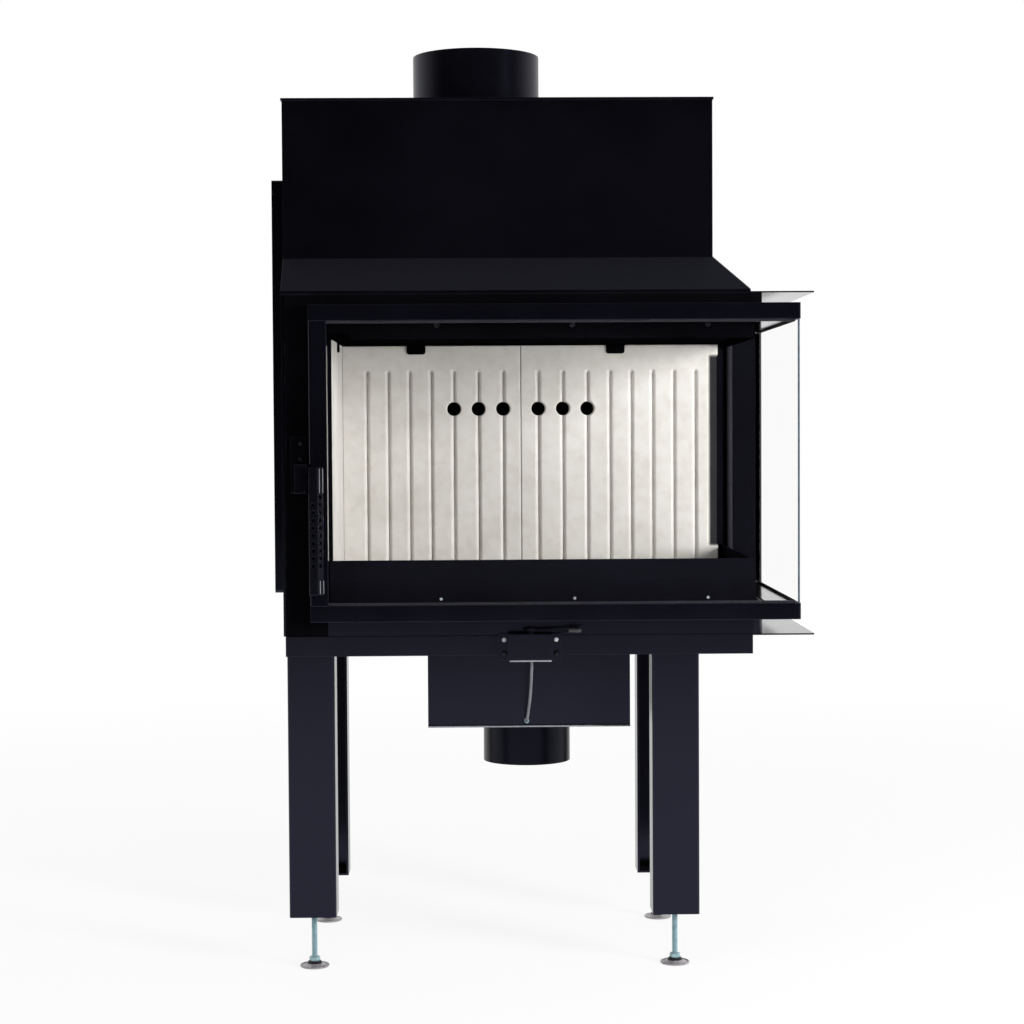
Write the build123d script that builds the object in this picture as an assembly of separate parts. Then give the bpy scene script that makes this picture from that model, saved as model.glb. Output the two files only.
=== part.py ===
"""Corner fireplace insert: a welded steel firebox with an L-shaped glass door
round its right-hand corner, a ceramic lining, a smoke box with a flue collar,
an outside-air box under the floor, and four channel legs on screwed feet.

Working frame, millimetres: X runs right from the outside of the left wall,
Y runs back from the front face plate, Z runs up from the floor. Every piece is
moved at the end so that the origin is under the middle of the whole insert.
"""

import os
from math import atan2, cos, degrees, pi

from build123d import *

# ---------------------------------------------------------------- dimensions

# Firebox body
body_width = 646.0          # left wall to right side beam
body_depth = 440.0          # front face plate to back wall
base_z = 428.4              # underside of the body above the floor
skirt_height = 24.7
face_top_z = 911.0
wall = 4.0                  # firebox plate
frame_plate = 3.0           # front face, beams and posts
sheet = 2.0                 # covers, rails, pans
corner_radius = 17.0        # rounded front right corner of the beams
bend = 3.0                  # inside radius of a folded sheet
seat = 0.3                  # loose fit between two pieces that don't move
running_fit = 0.05          # radial clearance of a pin in its hole

# Hood and smoke box
hood_lip = 5.0
hood_rise = 47.0
hood_setback = 46.0
hood_inset = 17.0           # hood's right edge inside the body's right side
smoke_box_rise = 215.5      # lid above the top of the hood
top_plate = 3.5
top_overhang = 1.5
collar_offset_x = -28.5     # from the middle of the smoke box
collar_offset_y = 12.0      # from the middle of the body
collar_radius = 90.0        # a 180 mm flue
collar_wall = 3.0
collar_height = 84.0
baffle_rise = 70.0          # upper baffle above the top of the face
baffle_gap = 95.0           # way for the smoke behind it

# Window, beams and left jamb
jamb_x = 60.0               # inner face of the left jamb
jamb_depth = 110.0
left_face_x = 5.0
window_sill = 38.7          # window above the floor plate
window_head = 36.1          # window below the top of the face
landing_inset = 9.0         # liner sheets stand this far behind the beams
landing_height = 17.0

# Ceramic lining
brick = 30.0
lining_left_inset = 1.0     # beside the left jamb
lining_right_inset = 23.0   # inside the body's right side
lining_setback = 95.0       # in front of the back wall's outside
lining_drop = 19.4          # lining's top below the window's top
lining_seam_offset = 4.2    # seam right of the body's middle
joint_gap = 0.6
left_lining_start = 10.0    # behind the left jamb
groove_pitch = 32.0
hole_pitch = 36.8
first_hole = 26.4           # from the seam to the nearest air hole
first_groove = 134.0        # from the seam to the first groove past the holes
groove_width = 10.0
groove_depth = 4.0
groove_drop = 40.5          # grooves end this far under the lining's top
hole_radius = 10.4
hole_drop = 94.5
cove_radius = 16.0
cove_drop = 15.5
cove_start = 58.0           # above the window's lower edge
floor_brick = 32.0
duct_width = 260.0
duct_drop = 55.5            # duct's top under the lining's top

# Door
door_left_x = 38.0
door_side_depth = 46.8      # door's right face outside the body
door_front_y = -24.7
door_rear_inset = 36.0      # door ends in front of the body's back
rail_height = 21.6
door_gap = 4.0              # rope seal between the door and the body
stile_width = 24.0
door_corner_radius = 3.5
glass = 4.0
glass_overlap = 6.0         # glass held behind the lip of the left stile

# Hinge
hinge_offset = 25.0         # axis outside the body's right side
hinge_inset = 10.0          # axis in front of the door's rear end
hinge_pin_radius = 5.0
bracket_plate = 6.0

# Door handle
handle_inset = 10.0         # pivot from the door's left edge
handle_drop = 19.35         # pivot below the middle of the window
pivot_radius = 4.0
grip_length = 169.0
grip_above_pivot = 15.0
grip_width = 18.8
grip_depth = 11.0
grip_sheet = 1.5
grip_hole = 5.0
grip_hole_pitch = 10.1
grip_hole_rows = 10
hook_plate = 3.0
hook_reach = 22.0
keeper_plate = 3.0

# Air intake under the body
intake_offset = 8.0         # right of the body's middle
intake_margin = 183.5       # from each side of the body to the intake, before its offset
intake_front_y = 74.0
intake_rear_inset = 50.0
intake_height = 108.9
spigot_radius = 62.5        # a 125 mm outside-air duct
spigot_wall = 2.0
spigot_length = 68.5
neck_wall = 1.2
spigot_stub = 32.0
flap_gap = 0.8
flap_plate = 1.5
flap_shaft_radius = 4.0

# Air control on the front
control_width = 56.0
control_flange = 14.0
control_height = 36.5
control_rise = 2.9          # housing's top above the skirt's
control_depth = 20.0
lever_length = 66.0
lever_width = 12.0
lever_gap = 3.5             # lever above the housing
lever_shaft_radius = 4.0
lever_angle = 12.0          # it points right and this much forward
cable_radius = 2.8

# Legs and feet
leg_width = 63.5
leg_depth = 50.0
leg_plate = 3.0
leg_low_z = 72.0
front_leg_y = 4.0
rear_leg_inset = 107.0      # rear legs' outer face in front of the body's back
left_leg_x = 4.0
right_leg_inset = 150.5     # right legs' left edge inside the body's right side
rod_radius = 4.0            # M8 levelling foot
rod_length = 132.0
pad_radius = 20.0
pad_height = 8.0

# Heat shields and ledges
shield_depth = 16.0
shield_rise = 50.9          # shields start above the floor plate
shield_drop = 108.5         # and end under the lid
shield_margin = 60.0
ledge_reach = 68.0          # outside the body's right side

# Small fasteners, pins and cast holes are prisms, to keep the model light
fastener_sides = 8
cast_hole_sides = 12
turned_sides = 24           # pads, pins and thin shafts
flap_sides = 48
cable_sides = 6

# ------------------------------------------------------------ derived places

skirt_top_z = base_z + skirt_height
floor_z = skirt_top_z + wall
hood_top_z = face_top_z + hood_lip + hood_rise
hood_right = body_width - hood_inset
smoke_box_right = hood_right - hood_setback
smoke_box_top_z = hood_top_z + smoke_box_rise
collar_x = smoke_box_right / 2 + collar_offset_x
collar_y = body_depth / 2 + collar_offset_y
window_low_z = floor_z + window_sill
window_high_z = face_top_z - window_head
smoke_box_wall_top = smoke_box_top_z - top_plate
beam_edge_low_z = window_low_z - frame_plate
beam_edge_high_z = window_high_z + 1.1
landing_depth = landing_inset + sheet + frame_plate
lining_left_x = jamb_x + lining_left_inset
lining_right_x = body_width - lining_right_inset
lining_back_y = body_depth - lining_setback
lining_top_z = window_high_z - lining_drop
lining_seam_x = body_width / 2 + lining_seam_offset
left_lining_front_y = jamb_depth + left_lining_start
groove_top_z = lining_top_z - groove_drop
hole_z = lining_top_z - hole_drop
cove_low_z = window_low_z + cove_start
cove_high_z = lining_top_z - cove_drop
duct_top_z = lining_top_z - duct_drop
door_right_x = body_width + door_side_depth
door_rear_y = body_depth - door_rear_inset
door_low_z = window_low_z - rail_height
door_high_z = window_high_z + rail_height
door_inner_x = body_width + door_gap
door_inner_y = -door_gap
glass_front_y = door_front_y + sheet + seat
glass_right_x = door_right_x - sheet - seat
hinge_x = body_width + hinge_offset
hinge_y = door_rear_y - hinge_inset
post_front_y = door_rear_y - 16.0
post_left_x = body_width - 26.0
brick_back_y = lining_back_y + brick
handle_pivot_x = door_left_x + handle_inset
handle_pivot_z = (window_low_z + window_high_z) / 2 - handle_drop
grip_left_x = handle_pivot_x - grip_width / 2
grip_high_z = handle_pivot_z + grip_above_pivot
grip_low_z = grip_high_z - grip_length
hook_y = door_front_y - 1.3 - hook_plate
keeper_y = hook_y - 0.5 - keeper_plate
grip_back_y = keeper_y - 0.5
grip_front_y = grip_back_y - grip_depth
intake_x = body_width / 2 + intake_offset
intake_left_x = intake_offset + intake_margin
intake_right_x = body_width + intake_offset - intake_margin
intake_back_y = body_depth - intake_rear_inset
intake_low_z = base_z - intake_height
spigot_low_z = intake_low_z - spigot_length
neck_radius = spigot_radius - spigot_wall + neck_wall
flap_z = intake_low_z + 18.0
control_high_z = skirt_top_z + control_rise
control_low_z = control_high_z - control_height
lever_z = control_high_z + lever_gap
lever_y = -control_depth / 2 - 1
rear_leg_y = body_depth - rear_leg_inset
right_leg_x = body_width - right_leg_inset
shield_low_z = floor_z + shield_rise
shield_high_z = smoke_box_top_z - shield_drop

# -------------------------------------------------------------------- helpers


def block(x, y, z):
    """Square-edged solid between the low and high value on each axis."""
    size = [high - low for low, high in (x, y, z)]
    middle = [(high + low) / 2 for low, high in (x, y, z)]
    return Pos(*middle) * Box(*size)


def rod(radius, start, length, axis=(0, 0, 1)):
    """Round bar of a radius from a start point along an axis."""
    plane = Plane(origin=start, z_dir=axis)
    return extrude(plane * Circle(radius), amount=length)


def stud(radius, start, length, axis=(0, 0, 1), sides=fastener_sides):
    """Small bar drawn as a prism with a few sides, inside the real round one."""
    plane = Plane(origin=start, z_dir=axis)
    return extrude(plane * RegularPolygon(radius, sides), amount=length)


def pin(radius, start, length, axis=(0, 0, 1)):
    """Turned pin or thin shaft, with more sides than a fastener."""
    return stud(radius, start, length, axis, turned_sides)


def bent_plate(points, plane, length, thickness=sheet, side=Side.LEFT):
    """Sheet with sharp bends along a line of points, drawn out along the plane's normal."""
    line = Polyline(*points)
    outline = make_face(offset(line, amount=thickness, side=side, kind=Kind.INTERSECTION))
    return extrude(plane * outline, amount=length)


def folded(points, plane, length, thickness=sheet, side=Side.LEFT, radius=bend):
    """Sheet folded along a line of points, then drawn out along the plane's normal."""
    line = FilletPolyline(*points, radius=radius)
    outline = make_face(offset(line, amount=thickness, side=side))
    return extrude(plane * outline, amount=length)


def corner_solid(front, right, left, rear, z, radius):
    """Solid with one rounded upright edge, at its front right corner."""
    solid = block((left, right), (front, rear), z)
    upright = solid.edges().filter_by(Axis.Z)
    corner = upright.sort_by(lambda edge: edge.center().X - edge.center().Y)[-1]
    return fillet(corner, radius)


def corner_band(front, right, left, rear, z, thickness, radius):
    """Strip that runs along the front and round the corner to the rear."""
    outer = corner_solid(front, right, left, rear, z, radius)
    inner_radius = max(radius - thickness, 0.5)
    inner = corner_solid(
        front + thickness, right - thickness, left - 1, rear + 1, z, inner_radius
    )
    return outer - inner


def screw(position, axis, radius=2.0, length=6.0, head_radius=3.5, head=2.2):
    """Pan-head screw: position is under the head, axis points out of the head."""
    start = Vector(*position) - Vector(*axis) * length
    shank = stud(radius, tuple(start), length, axis)
    cap = stud(head_radius, position, head, axis)
    return shank + cap


def screw_hole(position, axis, radius=2.0, length=20.0):
    """Clearance hole for a screw, long enough to pass through thin plates."""
    start = Vector(*position) - Vector(*axis) * length
    return stud(radius + running_fit, tuple(start), 2 * length, axis)


def shaft_hole(radius, start, length, axis=(0, 0, 1)):
    """Hole drawn with a few flats, which just clear a round shaft of that radius."""
    circumradius = (radius + running_fit) / cos(pi / fastener_sides)
    return stud(circumradius, start, length, axis)


# ------------------------------------------------------------- firebox shell


def base_pan():
    """Folded tray under the firebox that spreads the outside air."""
    outside = block((3, hood_right), (3, body_depth - 3), (base_z, skirt_top_z))
    inside = block(
        (3 + sheet, hood_right - sheet),
        (3 + sheet, body_depth - 3 - sheet),
        (base_z + sheet, skirt_top_z),
    )
    air_hole = block(
        (intake_left_x + 40, intake_right_x - 40),
        (intake_front_y + 40, intake_back_y - 40),
        (base_z - 1, base_z + sheet + 1),
    )
    return outside - inside - air_hole


def base_skirt():
    """Folded cover channel along the front of the base."""
    points = [
        (3 - seat, base_z - sheet),
        (-sheet, base_z - sheet),
        (-sheet, skirt_top_z),
        (3 - seat, skirt_top_z),
    ]
    cover = bent_plate(points, Plane.YZ.offset(3), hood_right - 1, sheet, Side.RIGHT)
    return cover - [screw_hole((x, -sheet, z), (0, -1, 0)) for x, z in control_screw_places()]


def fitted_plate(z):
    """Plate inside the beams and the back wall, notched for the jamb and the post."""
    right = body_width - frame_plate - seat
    front = frame_plate + seat
    plate = corner_solid(front, right, wall, body_depth - wall, z, corner_radius - frame_plate)
    through = (z[0] - 1, z[1] + 1)
    jamb = block((left_face_x - 2, jamb_x + seat), (0, jamb_depth + seat), through)
    post = block((post_left_x - seat, body_width), (post_front_y - seat, body_depth), through)
    return plate - jamb - post


def firebox_floor():
    """Floor plate, slotted at the front and under the rear air duct."""
    plate = fitted_plate((skirt_top_z, floor_z))
    through = (skirt_top_z - 1, floor_z + 1)
    slot_count = 5
    slot_length = 70.0
    slot_pitch = (lining_right_x - lining_left_x - slot_length) / slot_count
    slots = []
    for index in range(slot_count):
        x = lining_seam_x + (index - (slot_count - 1) / 2) * slot_pitch
        slots.append(block((x - slot_length / 2, x + slot_length / 2), (17, 27), through))
    rear_slot = block(
        (lining_seam_x - duct_width / 2 + 10, lining_seam_x + duct_width / 2 - 10),
        (brick_back_y + 12, body_depth - wall - 12),
        through,
    )
    return plate - slots - rear_slot


def left_wall():
    """Left side plate of the firebox."""
    return block((0, wall), (frame_plate + seat, body_depth - wall), (skirt_top_z, face_top_z))


def back_wall():
    """Back plate of the firebox."""
    return block((0, body_width), (body_depth - wall, body_depth), (skirt_top_z, face_top_z))


def left_face():
    """Front face plate left of the window, folded back as the left jamb."""
    points = [(left_face_x, 0), (jamb_x, 0), (jamb_x, jamb_depth)]
    height = face_top_z - skirt_top_z
    panel = folded(points, Plane.XY.offset(skirt_top_z), height, frame_plate)
    keeper_holes = [screw_hole((x, 0, z), (0, -1, 0)) for x, z in keeper_screw_places()]
    return panel - keeper_holes


def beam(face_z, edge_z, leg_z):
    """Corner beam: outer face, a fold inward at the window edge, and a landing leg."""
    left = jamb_x
    rear = post_front_y
    args = (left, rear)
    face = corner_band(0, body_width, *args, face_z, frame_plate, corner_radius)
    fold = corner_band(0, body_width, *args, edge_z, landing_depth, corner_radius)
    leg_inset = landing_depth - frame_plate
    leg = corner_band(
        leg_inset, body_width - leg_inset, *args, leg_z, frame_plate, corner_radius - leg_inset
    )
    return face + fold + leg


def bottom_beam():
    """Beam under the window."""
    edge = (beam_edge_low_z, beam_edge_low_z + frame_plate)
    leg = (beam_edge_low_z, beam_edge_low_z + landing_height)
    solid = beam((skirt_top_z, edge[1]), edge, leg)
    holes = [screw_hole(place, (0, -1, 0)) for place in guard_screw_places()]
    return solid - holes


def top_beam():
    """Beam over the window."""
    edge = (beam_edge_high_z, beam_edge_high_z + frame_plate)
    leg = (edge[1] - landing_height, edge[1])
    solid = beam((beam_edge_high_z, face_top_z), edge, leg)
    holes = [screw_hole(place, (0, -1, 0)) for place in deflector_screw_places()]
    return solid - holes


def rear_right_post():
    """Folded post behind the door's rear stile; it carries the corner of the body."""
    points = [
        (post_left_x, body_depth - wall),
        (post_left_x, post_front_y),
        (body_width, post_front_y),
        (body_width, body_depth - wall),
    ]
    height = face_top_z - skirt_top_z
    return folded(points, Plane.XY.offset(skirt_top_z), height, frame_plate)


def throat_plate():
    """Top plate of the firebox, open into the smoke box."""
    z = (face_top_z - wall, face_top_z)
    margin = 40.0
    opening = block(
        (wall + margin, smoke_box_right - margin),
        (jamb_depth + 6, body_depth - wall - margin),
        (z[0] - 1, z[1] + 1),
    )
    return fitted_plate(z) - opening


# --------------------------------------------------------- hood and smoke box


def hipped_solid(inset):
    """Block with a front and a right slope that meet in a hip, shrunk by inset."""
    left = inset
    right = hood_right - inset
    front = inset
    rear = body_depth - inset
    low = face_top_z
    lip = low + hood_lip
    crown_right = smoke_box_right
    crown_front = hood_setback
    top = hood_top_z - inset * 1.4
    crown_right -= inset
    crown_front += inset
    if inset:
        lip -= inset * 0.4
        low -= 1
    lip_block = block((left, right), (front, rear), (low, lip))
    bottom_face = Pos((left + right) / 2, (front + rear) / 2, lip) * Rectangle(right - left, rear - front)
    width = crown_right - left
    depth = rear - crown_front
    top_face = Pos(left + width / 2, crown_front + depth / 2, top) * Rectangle(width, depth)
    return lip_block + loft([bottom_face, top_face])


def hood():
    """Hipped sheet roof from the front and right edges up to the smoke box."""
    smoke_box = block(
        (-1, smoke_box_right + seat),
        (hood_setback - seat, body_depth + 1),
        (face_top_z - 1, hood_top_z + 1),
    )
    return hipped_solid(0) - hipped_solid(sheet) - smoke_box


def smoke_box():
    """Four welded walls over the throat."""
    z = (face_top_z, smoke_box_wall_top)
    outside = block((0, smoke_box_right), (hood_setback, body_depth), z)
    inside = block(
        (wall, smoke_box_right - wall), (hood_setback + wall, body_depth - wall), z
    )
    return outside - inside


def smoke_box_lid():
    """Top plate of the smoke box, slightly proud of its walls."""
    plate = block(
        (-top_overhang, smoke_box_right + top_overhang),
        (hood_setback - top_overhang, body_depth + top_overhang),
        (smoke_box_wall_top, smoke_box_top_z),
    )
    inner = collar_radius - collar_wall
    return plate - rod(inner, (collar_x, collar_y, smoke_box_wall_top - 1), top_plate + 2)


def flue_collar():
    """Rolled tube welded on the lid."""
    tube = rod(collar_radius, (collar_x, collar_y, smoke_box_top_z), collar_height)
    inner = collar_radius - collar_wall
    bore = rod(inner, (collar_x, collar_y, smoke_box_top_z - 1), collar_height + 2)
    return tube - bore


def upper_baffle():
    """Bent steel plate in the smoke box; the smoke goes round its back edge."""
    z = face_top_z + baffle_rise
    front = hood_setback + wall
    rear = body_depth - wall - baffle_gap
    points = [(front, z - 25), (front, z), (rear, z + 18), (rear + 20, z + 45)]
    width = smoke_box_right - 2 * wall
    return folded(points, Plane.YZ.offset(wall), width, frame_plate, Side.RIGHT, radius=6)


def lower_baffle():
    """Folded plate over the fire, resting on the lining; smoke goes round its front."""
    z = lining_top_z + sheet + seat
    front = jamb_depth + 3
    rear = brick_back_y
    points = [(front, z + 26), (front, z), (rear, z), (rear, z + 26)]
    width = lining_right_x - lining_left_x + brick
    return folded(
        points, Plane.YZ.offset(lining_left_x - brick), width, frame_plate, Side.LEFT, radius=4
    )


# ------------------------------------------------------------ ceramic lining


def groove_cutter(x, low, high, face_y):
    """Upright groove with sloped sides, open at the bottom."""
    half = groove_width / 2
    flat = half - groove_depth / 2
    points = [
        (x - half - 0.5, face_y - 1),
        (x - flat, face_y + groove_depth),
        (x + flat, face_y + groove_depth),
        (x + half + 0.5, face_y - 1),
    ]
    outline = make_face(Polyline(*points, close=True))
    return extrude(Plane.XY.offset(low) * outline, amount=high - low)


def groove_places(side):
    """X of each plain groove on one panel; side is -1 left or 1 right."""
    panel_end = lining_left_x if side < 0 else lining_right_x - cove_radius
    room = abs(panel_end - lining_seam_x) - groove_width - first_groove
    count = int(room // groove_pitch) + 1
    return [lining_seam_x + side * (first_groove + k * groove_pitch) for k in range(count)]


def hole_places(side):
    """X of the three air holes on one panel."""
    return [lining_seam_x + side * (first_hole + k * hole_pitch) for k in range(3)]


def back_lining(side):
    """Cast back panel, grooved, with three air holes."""
    if side < 0:
        x = (lining_left_x + joint_gap, lining_seam_x - joint_gap / 2)
    else:
        x = (lining_seam_x + joint_gap / 2, lining_right_x)
    panel = block(x, (lining_back_y, brick_back_y), (floor_z, lining_top_z))
    for groove_x in groove_places(side) + hole_places(side):
        panel -= groove_cutter(groove_x, floor_z - 1, groove_top_z, lining_back_y)
    for hole_x in hole_places(side):
        start = (hole_x, lining_back_y - 1, hole_z)
        panel -= stud(hole_radius, start, brick + 2, (0, 1, 0), cast_hole_sides)
    if side > 0:
        cove_axis = (lining_right_x + 2, lining_back_y - 2, cove_low_z)
        panel -= rod(cove_radius + 2, cove_axis, cove_high_z - cove_low_z)
    return panel


def left_lining():
    """Plain side panel behind the left jamb."""
    return block(
        (lining_left_x - brick, lining_left_x),
        (left_lining_front_y, lining_back_y - joint_gap),
        (floor_z, lining_top_z),
    )


def floor_lining():
    """Two hearth slabs on the floor plate, below the log guard."""
    z = (floor_z, floor_z + floor_brick)
    y = (landing_depth + 12, lining_back_y - joint_gap)
    left = block((lining_left_x + joint_gap, lining_seam_x - joint_gap / 2), y, z)
    right_end = body_width - landing_depth - 12
    right = block((lining_seam_x + joint_gap / 2, right_end), y, z)
    return [left, right]


def lining_clips():
    """Two bent straps that hook the back panels at their top edge."""
    half_spacing = 149.0
    clip_width = 25.5
    drop = 13.0
    clips = []
    for side in (-1, 1):
        x = lining_seam_x - 11.0 + side * half_spacing
        points = [
            (brick_back_y + seat, lining_top_z - drop),
            (brick_back_y + seat, lining_top_z),
            (lining_back_y - seat, lining_top_z),
            (lining_back_y - seat, lining_top_z - drop),
        ]
        plane = Plane.YZ.offset(x - clip_width / 2)
        clips.append(bent_plate(points, plane, clip_width, sheet, Side.RIGHT))
    return clips


def brick_supports():
    """Hat channels that hold the lining off the steel walls."""
    channels = []
    z = floor_z
    height = lining_top_z - 20 - floor_z
    back_depth = body_depth - wall - brick_back_y
    for x in (lining_left_x + 40, lining_right_x - 60):
        channel = hat_channel(back_depth, height)
        channels.append(Pos(x, body_depth - wall, z) * Rot(0, 0, 180) * channel)
    side_depth = lining_left_x - brick - wall
    for y in (left_lining_front_y + 40, lining_back_y - 50):
        channel = hat_channel(side_depth, height)
        channels.append(Pos(wall, y, z) * Rot(0, 0, -90) * channel)
    return channels


def hat_channel(depth, height):
    """Upright hat channel with its flanges on the plane Y = 0 and its crown at Y = depth."""
    half = 12.0
    flange = 10.0
    points = [
        (-half - flange, 0),
        (-half, 0),
        (-half, depth - sheet),
        (half, depth - sheet),
        (half, 0),
        (half + flange, 0),
    ]
    return bent_plate(points, Plane.XY, height)


def rear_air_duct():
    """Box channel that feeds the six holes with air from the base."""
    x = (lining_seam_x - duct_width / 2, lining_seam_x + duct_width / 2)
    y = (brick_back_y, body_depth - wall)
    z = (floor_z, duct_top_z)
    outside = block(x, y, z)
    inside = block((x[0] + sheet, x[1] - sheet), (y[0] - 1, y[1] - sheet), (z[0] - 1, z[1] - sheet))
    return outside - inside


# ------------------------------------------------------ liner sheets in front


def deflector_screw_places():
    """Head seats of the screws in the air-wash deflector."""
    z = beam_edge_high_z - 6.0
    return [(lining_seam_x + 63.0 + k * 182.0, landing_inset, z) for k in (-1, 0, 1)]


def air_wash_deflector():
    """Two strips that send air down the glass: a folded front one and a plain side one."""
    low = window_high_z - 24.0
    high = beam_edge_high_z - seat
    inset = landing_inset
    front_points = [(inset, high), (inset, low), (inset + 22, low)]
    left = jamb_x + seat
    right = body_width - inset - 4.0
    front = folded(front_points, Plane.YZ.offset(left), right - left, sheet)
    front -= block((left - 1, left + 31), (inset - 1, inset + 23), (low - 1, low + 9.5))
    for place in deflector_screw_places():
        front -= screw_hole(place, (0, -1, 0))
    side = block(
        (body_width - inset - sheet, body_width - inset),
        (corner_radius, post_front_y - seat),
        (low, high),
    )
    return [front, side]


def guard_screw_places():
    """Head seats of the screws in the log guard."""
    z = window_low_z + 6.0
    return [(lining_seam_x + 64.5 + k * 180.0, landing_inset, z) for k in (-1, 0, 1)]


def log_guard():
    """Folded plates behind the panes that keep the logs back: leaning in front, upright beside."""
    inset = landing_inset
    low = window_low_z + 1.0
    knee = low + 30.0
    top = low + 57.0
    right = body_width - inset
    front_points = [(inset, low), (inset, knee), (inset + 13, top)]
    front = folded(
        front_points, Plane.YZ.offset(jamb_x + 2), right - jamb_x - 2, sheet, Side.RIGHT, 8
    )
    for place in guard_screw_places():
        front -= screw_hole(place, (0, -1, 0))
    start = inset + 17.0
    side_points = [(right, low), (right, knee), (right - 4, top)]
    plane = Plane(origin=(0, start, 0), x_dir=(1, 0, 0), z_dir=(0, -1, 0))
    side = folded(side_points, plane, -(post_front_y - seat - start), sheet, Side.LEFT, 8)
    return [front, side]


# ------------------------------------------------------------ outside covers


def side_ledges():
    """Two thin plates that shelter the door's side, above and below it."""
    reach = body_width + ledge_reach
    upper = block((hood_right, reach), (0, body_depth), (face_top_z, face_top_z + sheet))
    lower = block((hood_right + 2, reach), (0, body_depth), (skirt_top_z - sheet, skirt_top_z))
    return [upper, lower]


def heat_shield(length, height):
    """Shallow folded pan, its open side on the plane z = 0, one corner at the origin."""
    outside = Box(length, height, shield_depth, align=(Align.MIN, Align.MIN, Align.MIN))
    outside = fillet(outside.edges().filter_by(Axis.Z), 4)
    inside = Pos(sheet, sheet, 0) * Box(
        length - 2 * sheet,
        height - 2 * sheet,
        shield_depth - sheet,
        align=(Align.MIN, Align.MIN, Align.MIN),
    )
    return outside - inside


def left_heat_shield():
    """Pan on the left wall."""
    pan = heat_shield(body_depth - 2 * shield_margin + 20, shield_high_z - shield_low_z)
    plane = Plane(
        origin=(0, body_depth - shield_margin + 20, shield_low_z),
        x_dir=(0, -1, 0),
        z_dir=(-1, 0, 0),
    )
    return plane * pan


def rear_heat_shield():
    """Pan on the back wall."""
    pan = heat_shield(smoke_box_right - 2 * shield_margin, shield_high_z - shield_low_z)
    plane = Plane(
        origin=(smoke_box_right - shield_margin, body_depth, shield_low_z),
        x_dir=(-1, 0, 0),
        z_dir=(0, 1, 0),
    )
    return plane * pan


# ---------------------------------------------------------------------- door


def door_slot(z):
    """Room for both panes in the door frame."""
    clear = seat
    front = block(
        (door_left_x + stile_width - glass_overlap - clear, glass_right_x),
        (glass_front_y - clear, glass_front_y + glass + clear),
        z,
    )
    side = block(
        (glass_right_x - glass - clear, glass_right_x + clear),
        (glass_front_y - clear, door_rear_y + 1),
        z,
    )
    return front + side


def door_rail(low, high, open_low):
    """Roll-formed L-shaped channel, open along the glass."""
    outer = corner_solid(
        door_front_y, door_right_x, door_left_x, door_rear_y, (low, high), door_corner_radius
    )
    cut_away = block(
        (door_left_x - 1, door_inner_x), (door_inner_y, door_rear_y + 1), (low - 1, high + 1)
    )
    hollow_outer = corner_solid(
        door_front_y + sheet,
        door_right_x - sheet,
        door_left_x + sheet,
        door_rear_y - sheet,
        (low + sheet, high - sheet),
        door_corner_radius - sheet,
    )
    hollow_inner = block(
        (door_left_x - 1, door_inner_x + sheet),
        (door_inner_y - sheet, door_rear_y + 1),
        (low, high),
    )
    slot = door_slot((low + sheet, high + 1)) if open_low else door_slot((low - 1, high - sheet))
    pin_hole = rod(hinge_pin_radius + running_fit, (hinge_x, hinge_y, low - 1), high - low + 2)
    return (outer - cut_away) - (hollow_outer - hollow_inner) - slot - pin_hole


def door_bottom_rail():
    """Lower rail; the panes stand in it."""
    return door_rail(door_low_z, window_low_z, True)


def door_top_rail():
    """Upper rail."""
    return door_rail(window_high_z, door_high_z, False)


def door_left_stile():
    """Folded box between the rails; it carries the handle."""
    z = (window_low_z, window_high_z)
    x = (door_left_x, door_left_x + stile_width)
    outer = block(x, (door_front_y, door_inner_y), z)
    front_edge = outer.edges().filter_by(Axis.Z).sort_by(lambda e: e.center().X + e.center().Y)[0]
    outer = fillet(front_edge, door_corner_radius)
    hollow = block(
        (x[0] + sheet, x[1] - sheet), (door_front_y + sheet, door_inner_y - sheet), z
    )
    pivot_hole = rod(
        pivot_radius, (handle_pivot_x, door_front_y - 1, handle_pivot_z), sheet + 2, (0, 1, 0)
    )
    return outer - hollow - door_slot(z) - pivot_hole


def door_rear_stile():
    """Folded stile at the back end of the side pane."""
    front = door_rear_y - 20.0
    flange_x = glass_right_x - glass - 1.8
    points = [
        (door_inner_x, door_rear_y),
        (door_inner_x, front),
        (flange_x, front),
        (flange_x, door_rear_y - sheet),
        (door_right_x - sheet, door_rear_y - sheet),
        (door_right_x - sheet, door_rear_y - 26.0),
    ]
    height = window_high_z - window_low_z
    outline = make_face(offset(Polyline(*points), amount=sheet, side=Side.LEFT))
    return extrude(Plane.XY.offset(window_low_z) * outline, amount=height)


def front_glass():
    """Flat ceramic-glass pane behind the front lips."""
    return block(
        (door_left_x + stile_width - glass_overlap, glass_right_x),
        (glass_front_y, glass_front_y + glass),
        (door_low_z + sheet + 1, door_high_z - sheet - 1),
    )


def side_glass():
    """Side pane; it meets the front pane at a bare glass corner."""
    return block(
        (glass_right_x - glass, glass_right_x),
        (glass_front_y + glass + seat, door_rear_y - sheet - 1),
        (door_low_z + sheet + 1, door_high_z - sheet - 1),
    )


def door_seal():
    """Rope seal on the back of the door frame, in two L runs and a left upright."""
    rope = door_gap - seat
    seal_width = 8.0
    runs = []
    for z in (
        (window_low_z - 12.0, window_low_z - 12.0 + seal_width),
        (window_high_z + 6.0, window_high_z + 6.0 + seal_width),
    ):
        runs.append(
            corner_band(
                door_inner_y,
                door_inner_x,
                door_left_x + 6.0,
                door_rear_y - 22.0,
                z,
                rope,
                corner_radius + door_gap,
            )
        )
    upright = block(
        (door_left_x + 6.0, door_left_x + 6.0 + seal_width),
        (door_inner_y, door_inner_y + rope),
        (runs[0].bounding_box().max.Z, runs[1].bounding_box().min.Z),
    )
    return [*runs, upright]


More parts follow.
